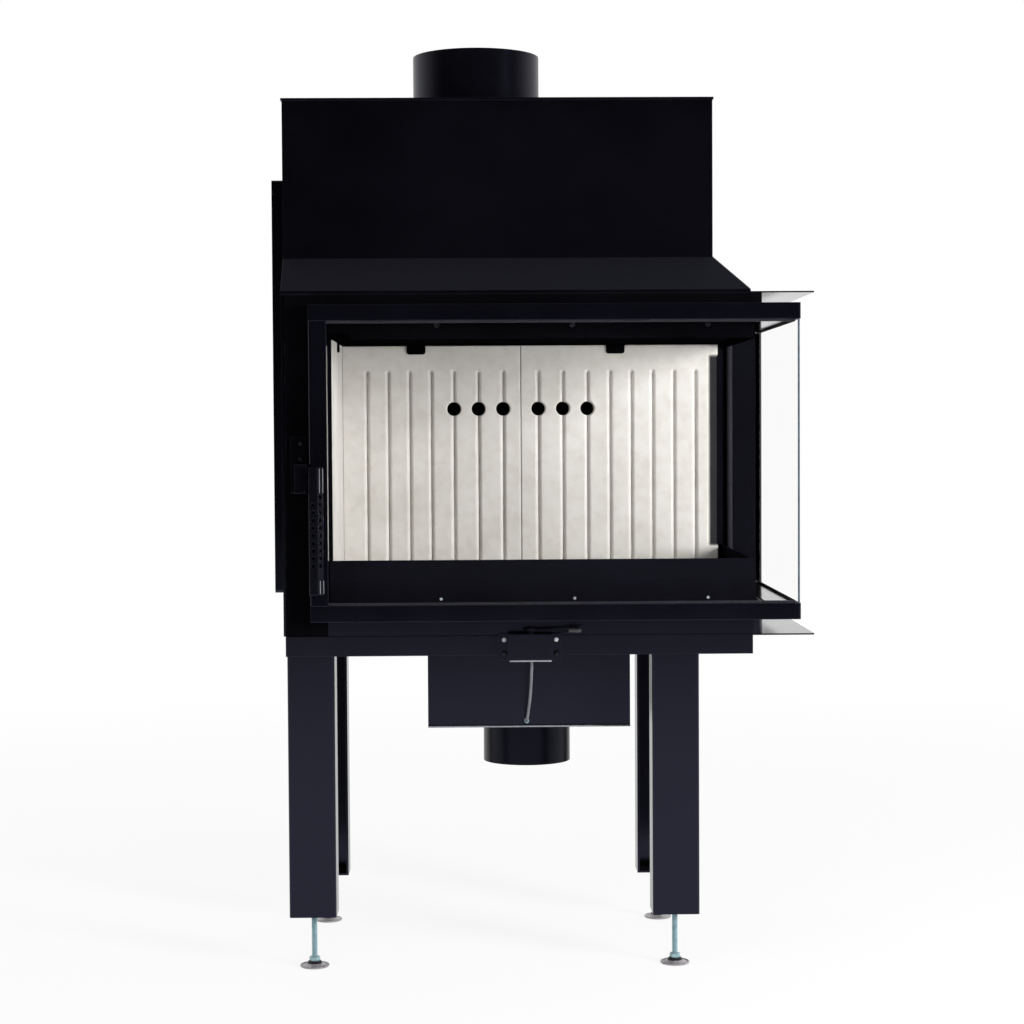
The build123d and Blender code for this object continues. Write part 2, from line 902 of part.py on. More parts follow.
def post_seal():
    """Rope seal on the rear post, seen beside the door's rear stile."""
    rope = 4.4
    low = beam_edge_low_z + landing_height + 0.5
    high = beam_edge_high_z + frame_plate - landing_height - 0.5
    return rod(rope, (body_width - 1.0, post_front_y - rope - 0.3, low), high - low)


def hinge_brackets():
    """Two plates on the body, above and below the door's rear end."""
    brackets = []
    for z in (
        (door_low_z - 1.5 - bracket_plate, door_low_z - 1.5),
        (door_high_z + 1.5, door_high_z + 1.5 + bracket_plate),
    ):
        plate = block((body_width, hinge_x + 14), (hinge_y - 16, body_depth - wall), z)
        outer_edges = plate.edges().filter_by(Axis.Z).group_by(Axis.X)[-1]
        plate = chamfer(outer_edges, 7)
        hole = rod(hinge_pin_radius + running_fit, (hinge_x, hinge_y, z[0] - 1), bracket_plate + 2)
        brackets.append(plate - hole)
    return brackets


def hinge_pins():
    """Headed pins: the lower one carries the door on its shoulder."""
    shoulder_radius = hinge_pin_radius + 3
    lower_top = door_low_z - 1.5
    lower = pin(hinge_pin_radius, (hinge_x, hinge_y, lower_top - bracket_plate), 25)
    shoulder = stud(shoulder_radius, (hinge_x, hinge_y, lower_top), 1.5 - 0.1)
    foot = stud(shoulder_radius, (hinge_x, hinge_y, lower_top - bracket_plate - 4), 4)
    upper_low = door_high_z + 1.5
    upper = pin(hinge_pin_radius, (hinge_x, hinge_y, upper_low - 20), 20 + bracket_plate)
    head = stud(shoulder_radius, (hinge_x, hinge_y, upper_low + bracket_plate), 4)
    return [lower + shoulder + foot, upper + head]


# -------------------------------------------------------------------- handle


def handle_grip():
    """Folded, perforated grip that stays cool; it hangs from the pivot."""
    left = grip_left_x
    right = grip_left_x + grip_width
    chamfer = 7.5
    points = [
        (left, grip_back_y),
        (left, grip_front_y),
        (right - chamfer, grip_front_y),
        (right, grip_front_y + chamfer),
        (right, grip_back_y),
    ]
    line = FilletPolyline(*points, radius=1.6)
    outline = make_face(offset(line, amount=grip_sheet, side=Side.LEFT))
    grip = extrude(Plane.XY.offset(grip_low_z) * outline, amount=grip_high_z - grip_low_z)
    first_z = grip_high_z - 39.5
    front_x = left + (grip_width - chamfer) / 2
    slope_x = right - chamfer / 2
    slope_y = grip_front_y + chamfer / 2
    for row in range(grip_hole_rows):
        z = first_z - row * grip_hole_pitch
        if row:
            grip -= Pos(front_x, grip_front_y, z) * Box(grip_hole, 6, grip_hole)
        grip -= Pos(slope_x, slope_y, z) * Rot(0, 0, 45) * Box(grip_hole, 6, grip_hole)
    return grip


def handle_hook():
    """Latch plate behind the grip, its boss, and the plate that closes the grip's back."""
    arm = block(
        (handle_pivot_x - hook_reach, handle_pivot_x + 9),
        (hook_y, hook_y + hook_plate),
        (handle_pivot_z - 7, handle_pivot_z + 2),
    )
    tips = arm.edges().filter_by(Axis.Y).group_by(Axis.X)[0]
    arm = chamfer(tips, 2.5)
    boss_length = hook_y + hook_plate - grip_back_y
    boss = stud(8, (handle_pivot_x, grip_back_y, handle_pivot_z), boss_length, (0, 1, 0))
    backing = block(
        (grip_left_x + grip_sheet, grip_left_x + grip_width - grip_sheet),
        (grip_back_y - 2, grip_back_y),
        (handle_pivot_z - 32, handle_pivot_z + 12),
    )
    start = (handle_pivot_x, grip_back_y - 3, handle_pivot_z)
    hole = shaft_hole(pivot_radius, start, boss_length + 6, (0, 1, 0))
    return arm + boss + backing - hole


def handle_pivot():
    """Pin through the stile, with a head in front and a rivet tail inside."""
    place = Pos(handle_pivot_x, 0, handle_pivot_z)
    head_y = grip_back_y - 2.3
    tail_y = door_front_y + sheet + 1
    shaft = pin(pivot_radius, (0, tail_y, 0), tail_y - head_y, (0, -1, 0))
    head = stud(pivot_radius + 2, (0, head_y, 0), 2.0, (0, -1, 0))
    tail = stud(pivot_radius + 1.5, (0, tail_y + 1, 0), 1.5, (0, -1, 0))
    return place * (shaft + head + tail)


def keeper_screw_places():
    """Centres of the keeper's two screws on the face plate."""
    x = handle_pivot_x - 22
    return [(x, handle_pivot_z + 47), (x, handle_pivot_z + 26)]


def latch_keeper():
    """Bent bracket on the face plate; the hook swings up behind its front tongue."""
    web_x = handle_pivot_x - 29.3
    low = handle_pivot_z - 20.0
    high = handle_pivot_z + 19.0
    tongue_y = keeper_y
    base = block((web_x - 6.7, web_x + 14.3), (-frame_plate, 0), (low, handle_pivot_z + 56))
    for x, z in keeper_screw_places():
        base -= screw_hole((x, -frame_plate, z), (0, -1, 0))
    web = block((web_x, web_x + frame_plate), (tongue_y, -1), (low, high))
    tongue = block((web_x, web_x + 17.3), (tongue_y, tongue_y + keeper_plate), (low, high))
    nose = tongue.edges().filter_by(Axis.Y).sort_by(lambda e: e.center().Z - e.center().X)[0]
    tongue = fillet(nose, 11)
    return base + web + tongue


# --------------------------------------------------------------- air intake


def intake_box():
    """Folded box under the base pan that joins the duct to the firebox."""
    x = (intake_left_x, intake_right_x)
    y = (intake_front_y, intake_back_y)
    z = (intake_low_z, base_z)
    outside = block(x, y, z)
    inside = block(
        (x[0] + sheet, x[1] - sheet), (y[0] + sheet, y[1] - sheet), (z[0] + sheet, z[1])
    )
    lip = block(x, (y[0] - 4, y[0] + 1), (z[0], z[0] + sheet))
    duct_hole = rod(neck_radius + seat, (intake_x, collar_y, z[0] - 1), sheet + 2)
    ferrule_hole = stud(
        cable_radius + 1.2, (cable_end[0], y[0] - 5, cable_end[2]), 12, (0, 1, 0)
    )
    return outside - inside + lip - duct_hole - ferrule_hole


def air_spigot():
    """Duct spigot shouldered under the box; its neck inside carries the damper shaft."""
    top = intake_low_z + sheet + spigot_stub
    inner = spigot_radius - spigot_wall
    tube = rod(spigot_radius, (intake_x, collar_y, spigot_low_z), spigot_length)
    neck = rod(neck_radius, (intake_x, collar_y, intake_low_z - 1), top - intake_low_z + 1)
    bore = rod(inner, (intake_x, collar_y, spigot_low_z - 1), top - spigot_low_z + 2)
    start = (intake_x - spigot_radius - 5, collar_y, flap_z)
    bearings = shaft_hole(flap_shaft_radius, start, 2 * spigot_radius + 10, (1, 0, 0))
    return tube + neck - bore - bearings


def damper_flap():
    """Round butterfly plate, shown open, with its edge up."""
    radius = spigot_radius - spigot_wall - flap_gap
    disc = stud(radius, (0, 0, -flap_plate / 2), flap_plate, sides=flap_sides)
    return Pos(intake_x, collar_y, flap_z) * Rot(90, 0, 0) * disc


def damper_shaft():
    """Split round shaft that clamps the flap, with a crank for the cable at its right end."""
    length = 2 * spigot_radius + 24
    start = (intake_x - length / 2, collar_y, flap_z)
    shaft = pin(flap_shaft_radius, start, length, (1, 0, 0))
    crank_x = intake_x + length / 2
    crank = block(
        (crank_x - 3, crank_x),
        (collar_y - 6, collar_y + 6),
        (flap_z - 8, flap_z + 38),
    )
    crank = chamfer(crank.edges().filter_by(Axis.X), 4)
    eye = stud(2, (crank_x - 5, collar_y, flap_z + 31), 8, (1, 0, 0))
    return shaft + crank - eye - damper_flap()


# -------------------------------------------------------------- air control

cable_start = (intake_x + 2.0, -control_depth / 2, control_low_z + 1.0)
cable_end = (intake_x - 3.5, intake_front_y, intake_low_z + 8.0)


def control_screw_places():
    """Centres of the four screws in the control housing's flanges."""
    half = control_width / 2 + control_flange / 2
    heights = (control_low_z + 10, control_low_z + 28)
    return [(intake_x + side * half, z) for side in (-1, 1) for z in heights]


def control_housing():
    """Folded cover with side flanges, screwed to the skirt."""
    half = control_width / 2
    face = -sheet
    points = [
        (intake_x - half - control_flange, face),
        (intake_x - half, face),
        (intake_x - half, -control_depth),
        (intake_x + half, -control_depth),
        (intake_x + half, face),
        (intake_x + half + control_flange, face),
    ]
    plane = Plane.XY.offset(control_low_z)
    cover = bent_plate(points, plane, control_high_z - control_low_z, sheet, Side.RIGHT)
    cap = block(
        (intake_x - half, intake_x + half),
        (-control_depth, face - seat),
        (control_high_z - sheet, control_high_z),
    )
    foot = block(
        (intake_x - half, intake_x + half),
        (-control_depth - 1.5, face - seat),
        (control_low_z, control_low_z + sheet),
    )
    cover = cover + cap + foot
    for x, z in control_screw_places():
        cover -= screw_hole((x, face, z), (0, -1, 0))
    bearing = shaft_hole(lever_shaft_radius, (intake_x, lever_y, control_low_z - 1), 60)
    cable_hole = stud(cable_radius + 0.2, (cable_start[0], cable_start[1], control_low_z - 1), 5)
    return cover - bearing - cable_hole


def air_lever():
    """Flat lever with a turned-up tip, on a short upright shaft."""
    thickness = 2.5
    arm = block(
        (0, lever_length - 12), (-lever_width / 2, lever_width / 2), (lever_z, lever_z + thickness)
    )
    hub = stud(9, (0, 0, lever_z - 2), thickness + 2)
    tip = block(
        (lever_length - 16, lever_length),
        (-lever_width / 2 - 1.5, lever_width / 2 + 1.5),
        (lever_z - 0.5, lever_z + thickness + 1.5),
    )
    tip = chamfer(tip.edges().filter_by(Axis.Z), 3)
    shaft = pin(lever_shaft_radius, (0, 0, control_high_z - 22), lever_z - control_high_z + 22)
    lever = arm + hub + tip + shaft
    return Pos(intake_x, lever_y, 0) * Rot(0, 0, -lever_angle) * lever


def control_cable():
    """Cable sheath from the housing down and back to the intake box, with its ferrule."""
    drop = cable_start[2] - cable_end[2]
    run = cable_end[1] - cable_start[1]
    points = [
        cable_start,
        (intake_x + 1.2, cable_start[1] + 3, cable_end[2] + 0.69 * drop),
        (intake_x - 1.0, cable_start[1] + run / 3, cable_end[2] + 0.32 * drop),
        (cable_end[0], intake_front_y - 24, cable_end[2] + 5),
        cable_end,
    ]
    path = FilletPolyline(*points, radius=[38, 30, 22])
    section = Plane(origin=path @ 0, z_dir=path % 0) * RegularPolygon(cable_radius, cable_sides)
    sheath = sweep(section, path=path)
    ferrule_start = (cable_end[0], intake_front_y + 0.2, cable_end[2])
    ferrule = stud(cable_radius + 1.0, ferrule_start, 12, (0, 1, 0))
    return [sheath, ferrule]


# ------------------------------------------------------------- legs and feet


def leg_corners():
    """Name, left edge, outer face and facing (1 opens to the rear) of each leg."""
    return [
        ("front_left", left_leg_x, front_leg_y, 1),
        ("front_right", right_leg_x, front_leg_y, 1),
        ("rear_left", left_leg_x, rear_leg_y, -1),
        ("rear_right", right_leg_x, rear_leg_y, -1),
    ]


def foot_place(x, y, facing):
    """Axis of a levelling foot: the middle of the leg's bottom tab."""
    return (x + leg_width / 2, y + facing * leg_depth / 2)


def leg_bolt_places(x, y, facing):
    """Axes of the two bolts in a leg's top tab."""
    mid_y = y + facing * leg_depth / 2
    return [(x + leg_width / 2 + side * 16, mid_y) for side in (-1, 1)]


def leg(x, y, facing):
    """Folded channel with a tab at each end."""
    near, far = sorted((y, y + facing * leg_depth))
    z = (leg_low_z, base_z)
    outside = block((x, x + leg_width), (near, far), z)
    uprights = outside.edges().filter_by(Axis.Z)
    outer = uprights.filter_by(lambda edge: abs(edge.center().Y - y) < 1)
    outside = fillet(outer, 4)
    low_y, high_y = sorted((y + facing * leg_plate, y + facing * (leg_depth + 1)))
    inside = block(
        (x + leg_plate, x + leg_width - leg_plate),
        (low_y, high_y),
        (leg_low_z + leg_plate, base_z - leg_plate),
    )
    foot_x, foot_y = foot_place(x, y, facing)
    return outside - inside - stud(rod_radius + 0.4, (foot_x, foot_y, leg_low_z - 1), leg_plate + 2)


def leg_fasteners():
    """Bolt heads under each top tab and a nut on each bottom tab."""
    pieces = []
    for _, x, y, facing in leg_corners():
        for bolt_x, bolt_y in leg_bolt_places(x, y, facing):
            head = Plane.XY.offset(base_z - leg_plate - 5) * (
                Pos(bolt_x, bolt_y) * RegularPolygon(7.5, 6)
            )
            pieces.append(extrude(head, amount=5))
        foot_x, foot_y = foot_place(x, y, facing)
        nut = Plane.XY.offset(leg_low_z + leg_plate) * (
            Pos(foot_x, foot_y) * RegularPolygon(7.5, 6)
        )
        bore = stud(rod_radius + running_fit, (foot_x, foot_y, leg_low_z), 20)
        pieces.append(extrude(nut, amount=6.5) - bore)
    return pieces


def levelling_foot(x, y, facing):
    """Threaded rod with a nut, standing in a dished pad."""
    foot_x, foot_y = foot_place(x, y, facing)
    plate_height = 3.0
    neck = 9.0
    plate = stud(pad_radius, (0, 0, 0), plate_height, sides=turned_sides)
    rise = pad_height - plate_height
    slope = degrees(atan2((pad_radius - 2 - neck) * cos(pi / turned_sides), rise))
    low_ring = Plane.XY.offset(plate_height) * RegularPolygon(pad_radius - 2, turned_sides)
    dish = extrude(low_ring, amount=rise, taper=slope)
    threaded_rod = stud(rod_radius, (0, 0, pad_height), rod_length)
    nut = extrude(Plane.XY.offset(pad_height) * RegularPolygon(7.5, 6), amount=6)
    nut -= stud(rod_radius + running_fit, (0, 0, pad_height - 1), 10)
    place = Pos(foot_x, foot_y, 0)
    return [place * (plate + dish), place * threaded_rod, place * nut]


# --------------------------------------------------------------- small screws


def panel_screws():
    """Pan heads that hold the deflector, the log guard and the latch keeper."""
    places = deflector_screw_places() + guard_screw_places()
    places += [(x, -frame_plate, z) for x, z in keeper_screw_places()]
    return [screw(place, (0, -1, 0)) for place in places]


def control_screws():
    """Pan heads of the control housing."""
    return [
        screw((x, -2 * sheet, z), (0, -1, 0), length=2 * sheet - 0.5, head_radius=4, head=2.5)
        for x, z in control_screw_places()
    ]


# ------------------------------------------------------------------- assembly

nodes = {
    "base_pan": base_pan(),
    "base_skirt": base_skirt(),
    "firebox_floor": firebox_floor(),
    "left_wall": left_wall(),
    "back_wall": back_wall(),
    "left_face": left_face(),
    "bottom_beam": bottom_beam(),
    "top_beam": top_beam(),
    "rear_right_post": rear_right_post(),
    "throat_plate": throat_plate(),
    "hood": hood(),
    "smoke_box": smoke_box(),
    "smoke_box_lid": smoke_box_lid(),
    "flue_collar": flue_collar(),
    "upper_baffle": upper_baffle(),
    "lower_baffle": lower_baffle(),
    "back_lining_left": back_lining(-1),
    "back_lining_right": back_lining(1),
    "left_lining": left_lining(),
    "floor_lining": floor_lining(),
    "lining_clips": lining_clips(),
    "brick_supports": brick_supports(),
    "rear_air_duct": rear_air_duct(),
    "air_wash_deflector": air_wash_deflector(),
    "log_guard": log_guard(),
    "panel_screws": panel_screws(),
    "side_ledges": side_ledges(),
    "left_heat_shield": left_heat_shield(),
    "rear_heat_shield": rear_heat_shield(),
    "door_bottom_rail": door_bottom_rail(),
    "door_top_rail": door_top_rail(),
    "door_left_stile": door_left_stile(),
    "door_rear_stile": door_rear_stile(),
    "front_glass": front_glass(),
    "side_glass": side_glass(),
    "door_seal": door_seal(),
    "post_seal": post_seal(),
    "hinge_brackets": hinge_brackets(),
    "hinge_pins": hinge_pins(),
    "handle_grip": handle_grip(),
    "handle_hook": handle_hook(),
    "handle_pivot": handle_pivot(),
    "latch_keeper": latch_keeper(),
    "intake_box": intake_box(),
    "air_spigot": air_spigot(),
    "damper_flap": damper_flap(),
    "damper_shaft": damper_shaft(),
    "control_housing": control_housing(),
    "control_screws": control_screws(),
    "air_lever": air_lever(),
    "control_cable": control_cable(),
    "leg_fasteners": leg_fasteners(),
}
for corner_name, leg_x, leg_y, leg_facing in leg_corners():
    nodes["leg_" + corner_name] = leg(leg_x, leg_y, leg_facing)
    nodes["foot_" + corner_name] = levelling_foot(leg_x, leg_y, leg_facing)


def as_compound(shape):
    """One compound of separate solids, whatever a section returned."""
    pieces = shape if isinstance(shape, (list, tuple)) else [shape]
    return Compound(children=[solid for piece in pieces for solid in piece.solids()])


compounds = {name: as_compound(shape) for name, shape in nodes.items()}
boxes = [shape.bounding_box() for shape in compounds.values()]
shift_x = -(min(box.min.X for box in boxes) + max(box.max.X for box in boxes)) / 2
shift_y = -(min(box.min.Y for box in boxes) + max(box.max.Y for box in boxes)) / 2

if __name__ == "__main__":
    os.makedirs("parts", exist_ok=True)
    for name, shape in compounds.items():
        export_step(Pos(shift_x, shift_y, 0) * shape, f"parts/{name}.step")
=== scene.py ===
"""Looks for the corner fireplace insert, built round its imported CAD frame, in metres.

The sections follow the insert as it is put together: the painted steel body, the
ceramic lining, the liner sheets with their screws, the seals, the glazed door with
its handle, the air box with its control, the legs and feet, and last the studio.
Lengths inside a section are millimetres from the body's front left corner, on the floor.
"""

from math import cos, pi, radians, sin

import bpy
import numpy as np
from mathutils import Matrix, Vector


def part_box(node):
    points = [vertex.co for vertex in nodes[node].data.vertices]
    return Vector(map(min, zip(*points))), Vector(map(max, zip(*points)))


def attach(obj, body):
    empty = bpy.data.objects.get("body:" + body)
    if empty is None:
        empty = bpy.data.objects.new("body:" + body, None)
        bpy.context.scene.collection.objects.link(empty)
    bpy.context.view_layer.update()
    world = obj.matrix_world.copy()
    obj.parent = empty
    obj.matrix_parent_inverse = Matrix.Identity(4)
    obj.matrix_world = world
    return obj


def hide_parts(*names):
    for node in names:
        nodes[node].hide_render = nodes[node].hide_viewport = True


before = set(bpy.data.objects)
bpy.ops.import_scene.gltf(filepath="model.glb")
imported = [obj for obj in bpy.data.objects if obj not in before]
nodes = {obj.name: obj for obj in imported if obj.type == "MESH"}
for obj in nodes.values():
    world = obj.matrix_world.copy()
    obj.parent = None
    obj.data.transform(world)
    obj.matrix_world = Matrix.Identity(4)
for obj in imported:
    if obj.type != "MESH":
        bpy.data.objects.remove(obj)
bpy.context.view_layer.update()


# Painted steel body. Sheet and plate, laser cut, folded and welded, then sprayed with
# satin heat-resistant stove paint: near black with a violet cast, a fine orange peel,
# and corners that catch the light where the paint is thin.

mm = 0.001


def linear(hex_code):
    """An sRGB hex colour as the linear RGBA values that the nodes take."""
    channels = np.array([int(hex_code[i : i + 2], 16) / 255 for i in (1, 3, 5)])
    values = np.where(channels <= 0.04045, channels / 12.92, ((channels + 0.055) / 1.055) ** 2.4)
    return (*values, 1.0)


def add(tree, kind, settings=None, **inputs):
    """Adds a node; an input is a value, or an output socket that is linked to it."""
    node = tree.nodes.new("ShaderNode" + kind)
    for key, value in (settings or {}).items():
        setattr(node, key, value)
    for key, value in inputs.items():
        socket = node.inputs[int(key[1:]) if key[1:].isdigit() else key.replace("_", " ")]
        if isinstance(value, bpy.types.NodeSocket):
            tree.links.new(value, socket)
        else:
            socket.default_value = value
    return node


def finish(name, roughness, specular=0.5, metallic=0.0):
    """A new material: its tree, its shader, and the Object coordinates that patterns read."""
    material = bpy.data.materials.new(name)
    material.use_nodes = True
    tree = material.node_tree
    shader = tree.nodes["Principled BSDF"]
    shader.inputs["Roughness"].default_value = roughness
    shader.inputs["Specular IOR Level"].default_value = specular
    shader.inputs["Metallic"].default_value = metallic
    return material, tree, shader, add(tree, "TexCoord").outputs["Object"]


def noise(tree, place, size, detail=3.0, roughness=0.55):
    """Noise whose blotches are about size mm across."""
    made = add(
        tree, "TexNoise", Vector=place, Scale=1 / (size * mm), Detail=detail, Roughness=roughness
    )
    return made.outputs["Fac"]


def ramp(tree, factor, *stops):
    """A colour that runs through (place, hex colour) stops."""
    node = add(tree, "ValToRGB", Fac=factor)
    elements = node.color_ramp.elements
    while len(elements) < len(stops):
        elements.new(0.5)
    for element, (place, colour) in zip(elements, stops):
        element.position = place
        element.color = linear(colour)
    return node.outputs["Color"]


def edge_wear(tree, radius, start=0.995, end=0.90):
    """1 on outside and inside corners, 0 on flats, and the rounded normal there."""
    rounded = add(tree, "Bevel", {"samples": 4}, Radius=radius * mm).outputs["Normal"]
    flat = add(tree, "NewGeometry").outputs["Normal"]
    facing = add(tree, "VectorMath", {"operation": "DOT_PRODUCT"}, _0=rounded, _1=flat)
    wear = add(tree, "MapRange", Value=facing.outputs["Value"], From_Min=start, From_Max=end)
    return wear.outputs["Result"], rounded


def stove_paint(name, base, rubbed, roughness, specular=0.4, lit_from_above="#18181e", peel=2.5):
    """Sprayed paint, drawn lighter on what faces up as painted light from above.

    The orange peel is 1 mm wide on the real one, and drawn 2.5 mm to show.
    """
    material, tree, shader, place = finish(name, roughness, specular)
    shader.inputs["Specular Tint"].default_value = linear("#cfd3ff")
    cloud = noise(tree, place, 110.0, detail=4.0)
    wear, rounded = edge_wear(tree, 1.2)
    colour = add(tree, "Mix", {"data_type": "RGBA"}, _0=wear, _6=ramp(tree, cloud, *base))
    colour.inputs[7].default_value = linear(rubbed)
    # Painted light: faces that look up turn to a lighter tone, as if lit from above.
    up = add(tree, "SeparateXYZ", Vector=add(tree, "NewGeometry").outputs["Normal"])
    lying = add(tree, "MapRange", Value=up.outputs["Z"], From_Min=0.4, From_Max=0.85)
    lit_upward = add(
        tree, "Mix", {"data_type": "RGBA"}, _0=lying.outputs["Result"], _6=colour.outputs[2]
    )
    lit_upward.inputs[7].default_value = linear(lit_from_above)
    sheen = add(
        tree, "MapRange", Value=cloud, To_Min=roughness * 0.85, To_Max=roughness * 1.2
    )
    skin = noise(tree, place, peel, detail=2.0)
    bump = add(
        tree, "Bump", Strength=0.07, Distance=0.06 * mm, Height=skin, Normal=rounded
    )
    tree.links.new(lit_upward.outputs[2], shader.inputs["Base Color"])
    tree.links.new(sheen.outputs["Result"], shader.inputs["Roughness"])
    tree.links.new(bump.outputs["Normal"], shader.inputs["Normal"])
    return material


def dress(material, *names):
    """Gives CAD nodes their material, through their own slots."""
    for name in names:
        for slot in nodes[name].material_slots:
            slot.material = material


body_paint = stove_paint(
    "stove_paint_satin_sprayed", ((0.3, "#040407"), (0.7, "#07070b")), "#15151c", 0.2
)
inner_paint = stove_paint(
    "stove_paint_matt_sooted", ((0.3, "#0c0c11"), (0.7, "#101016")), "#17171d", 0.8, 0.0
)
matt_paint = stove_paint(
    "stove_paint_matt_shaded", ((0.3, "#050507"), (0.7, "#08080b")), "#121216", 0.8, 0.0
)
collar_paint = stove_paint(
    "stove_paint_matt_collar", ((0.3, "#06060a"), (0.7, "#09090e")), "#15151c", 0.3, 0.2
)
dress(body_paint, *nodes)
dress(inner_paint, "rear_air_duct", "brick_supports", "base_pan", "firebox_floor", "log_guard")
dress(inner_paint, "rear_right_post", "door_rear_stile")
dress(matt_paint, "upper_baffle", "lower_baffle", "throat_plate", "air_wash_deflector")
dress(matt_paint, "left_face", "top_beam")
dress(collar_paint, "flue_collar", "air_spigot")


# Weld beads. The rolled flue collar stands on the lid, and the duct spigot hangs under
# the air box, each held by one hand-laid fillet that ripples as the torch was moved on.

corner = np.array([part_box("left_wall")[0].x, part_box("left_face")[0].y, 0.0])


def loft(rings, loop=False):
    """A skin over rings of points, an array (ring, point, axis).

    A ring runs anticlockwise as seen from the last one. Both ends get a flat cap, or with
    loop the last ring joins the first. A skin is its points, its faces' corners in one
    row, and the number of corners of each face.
    """
    count, sides = rings.shape[:2]
    ring, side = np.meshgrid(np.arange(count - 1 + loop), np.arange(sides), indexing="ij")
    above, beside = (ring + 1) % count, (side + 1) % sides
    corners = np.stack(
        [ring * sides + side, ring * sides + beside, above * sides + beside, above * sides + side],
        axis=-1,
    ).ravel()
    sizes = np.full(ring.size, 4)
    if not loop:
        end = np.arange(sides)
        corners = np.concatenate([corners, end[::-1], end + (count - 1) * sides])
        sizes = np.concatenate([sizes, [sides, sides]])
    return rings.reshape(-1, 3), corners, sizes


def join(skins):
    """Several skins as one."""
    starts = np.cumsum([0] + [len(points) for points, _, _ in skins])
    points = np.concatenate([points for points, _, _ in skins])
    corners = np.concatenate([corners + start for (_, corners, _), start in zip(skins, starts)])
    return points, corners, np.concatenate([sizes for _, _, sizes in skins])


def lay(skin, place, facing="up"):
    """A skin made round the upright axis, turned to face a way, then moved to its place."""
    ways = {
        "up": ((1, 0, 0), (0, 1, 0), (0, 0, 1)),
        "front": ((1, 0, 0), (0, 0, 1), (0, -1, 0)),
        "back": ((0, 0, 1), (1, 0, 0), (0, 1, 0)),
        "right": ((0, 1, 0), (0, 0, 1), (1, 0, 0)),
        "left": ((0, 0, 1), (0, 1, 0), (-1, 0, 0)),
    }
    return skin[0] @ np.array(ways[facing], float) + np.array(place, float), skin[1], skin[2]


def make(name, skin, material, body, replaced=(), crease=35):
    """The piece for a skin in mm: its mesh in metres in the frame, and what it rides on."""
    points, corners, sizes = skin
    mesh = bpy.data.meshes.new(name)
    mesh.vertices.add(len(points))
    mesh.vertices.foreach_set("co", (points * mm + corner).ravel())
    mesh.loops.add(len(corners))
    mesh.loops.foreach_set("vertex_index", corners.astype(np.int32))
    mesh.polygons.add(len(sizes))
    mesh.polygons.foreach_set("loop_start", (np.cumsum(sizes) - sizes).astype(np.int32))
    mesh.update(calc_edges=True)
    mesh.validate()
    mesh.shade_smooth()
    mesh.set_sharp_from_angle(angle=radians(crease))
    mesh.materials.append(material)
    piece = bpy.data.objects.new(name, mesh)
    bpy.context.scene.collection.objects.link(piece)
    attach(piece, body)
    if replaced:
        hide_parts(*replaced)
    return piece


def weld_bead(radius, height, throat):
    """A fillet round a tube: a ring whose own radius rises and falls with each ripple.

    At angle a round the tube and b round the bead, the bead's radius is the throat times
    1 + 0.16 |sin(n a)|, with one ripple in each 2.4 mm.
    """
    ripple_length, stand_off = 2.4, 0.4
    ripples = int(pi * radius / ripple_length)
    around = np.linspace(0, 2 * pi, ripples * 6, endpoint=False)[:, None]
    across = np.linspace(0, 2 * pi, 8, endpoint=False)[None, :]
    bead = throat * (1 + 0.16 * np.abs(np.sin(ripples * around)))
    out = radius + stand_off + bead * np.cos(across)
    rings = np.stack(
        [out * np.cos(around), out * np.sin(around), height + bead * np.sin(across)], axis=-1
    )
    return loft(rings[::-1], loop=True)


collar_radius, collar_foot, collar_place = 90.0, 1178.7, (263.0, 232.0, 0.0)
spigot_radius, spigot_top, spigot_place = 62.5, 319.3, (331.0, 232.0, 0.0)
collar_bead = lay(weld_bead(collar_radius, collar_foot, throat=1.9), collar_place)
spigot_bead = lay(weld_bead(spigot_radius, spigot_top, throat=1.7), spigot_place)
make("flue_collar_weld", collar_bead, body_paint, "body")
make("air_spigot_weld", spigot_bead, body_paint, "body")


# Ceramic lining. Refractory panels cast face down in a mould, pale warm grey and dry,
# with a fine sandy grain, faint clouds and rolled edges. The back is two panels, grooved
# down to the floor, with three air holes each; the side and floor slabs are plain.

lining_front, lining_back = 345.0, 375.0
lining_low, lining_high = 457.1, 855.5
seam = 327.2
groove_top, groove_half, groove_depth = 815.0, 6.2, 6.2
hole_height, hole_radius = 761.0, 10.4
edge_roll, panel_crease = 1.6, 50
cove_axis, cove_radius, cove_rim = 625.0, 18.0, 2.0
cove_low, cove_high, cove_run_out = 553.8, 840.0, 2.0


def refractory(name):
    """Cast refractory. Its 0.3 mm grit is drawn 1.4 mm wide, so that it shows."""
    material, tree, shader, place = finish(name, 0.92, specular=0.1)
    cloud = noise(tree, place, 75.0, detail=5.0, roughness=0.62)
    stain = noise(tree, place, 16.0, detail=3.0)
    tint = ramp(tree, cloud, (0.25, "#c9c6c0"), (0.5, "#d2cfca"), (0.75, "#d9d6d2"))
    spots = ramp(tree, stain, (0.30, "#f1f0ec"), (0.55, "#ffffff"))
    colour = add(
        tree, "Mix", {"data_type": "RGBA", "blend_type": "MULTIPLY"}, _0=0.55, _6=tint, _7=spots
    )
    rounded = add(tree, "Bevel", {"samples": 4}, Radius=1.5 * mm).outputs["Normal"]
    grit = noise(tree, place, 1.4, detail=3.0, roughness=0.7)
    swell = noise(tree, place, 28.0, detail=2.0)
    form = add(tree, "Bump", Strength=0.25, Distance=1.2 * mm, Height=swell, Normal=rounded)
    bump = add(
        tree,
        "Bump",
        Strength=0.3,
        Distance=0.25 * mm,
        Height=grit,
        Normal=form.outputs["Normal"],
    )
    tree.links.new(bump.outputs["Normal"], shader.inputs["Normal"])
    return material, tree, shader, place, colour.outputs[2]


ceramic, tree, shader, place, colour = refractory("ceramic_refractory_cast")
tree.links.new(colour, shader.inputs["Base Color"])
dress(ceramic, "left_lining", "floor_lining")
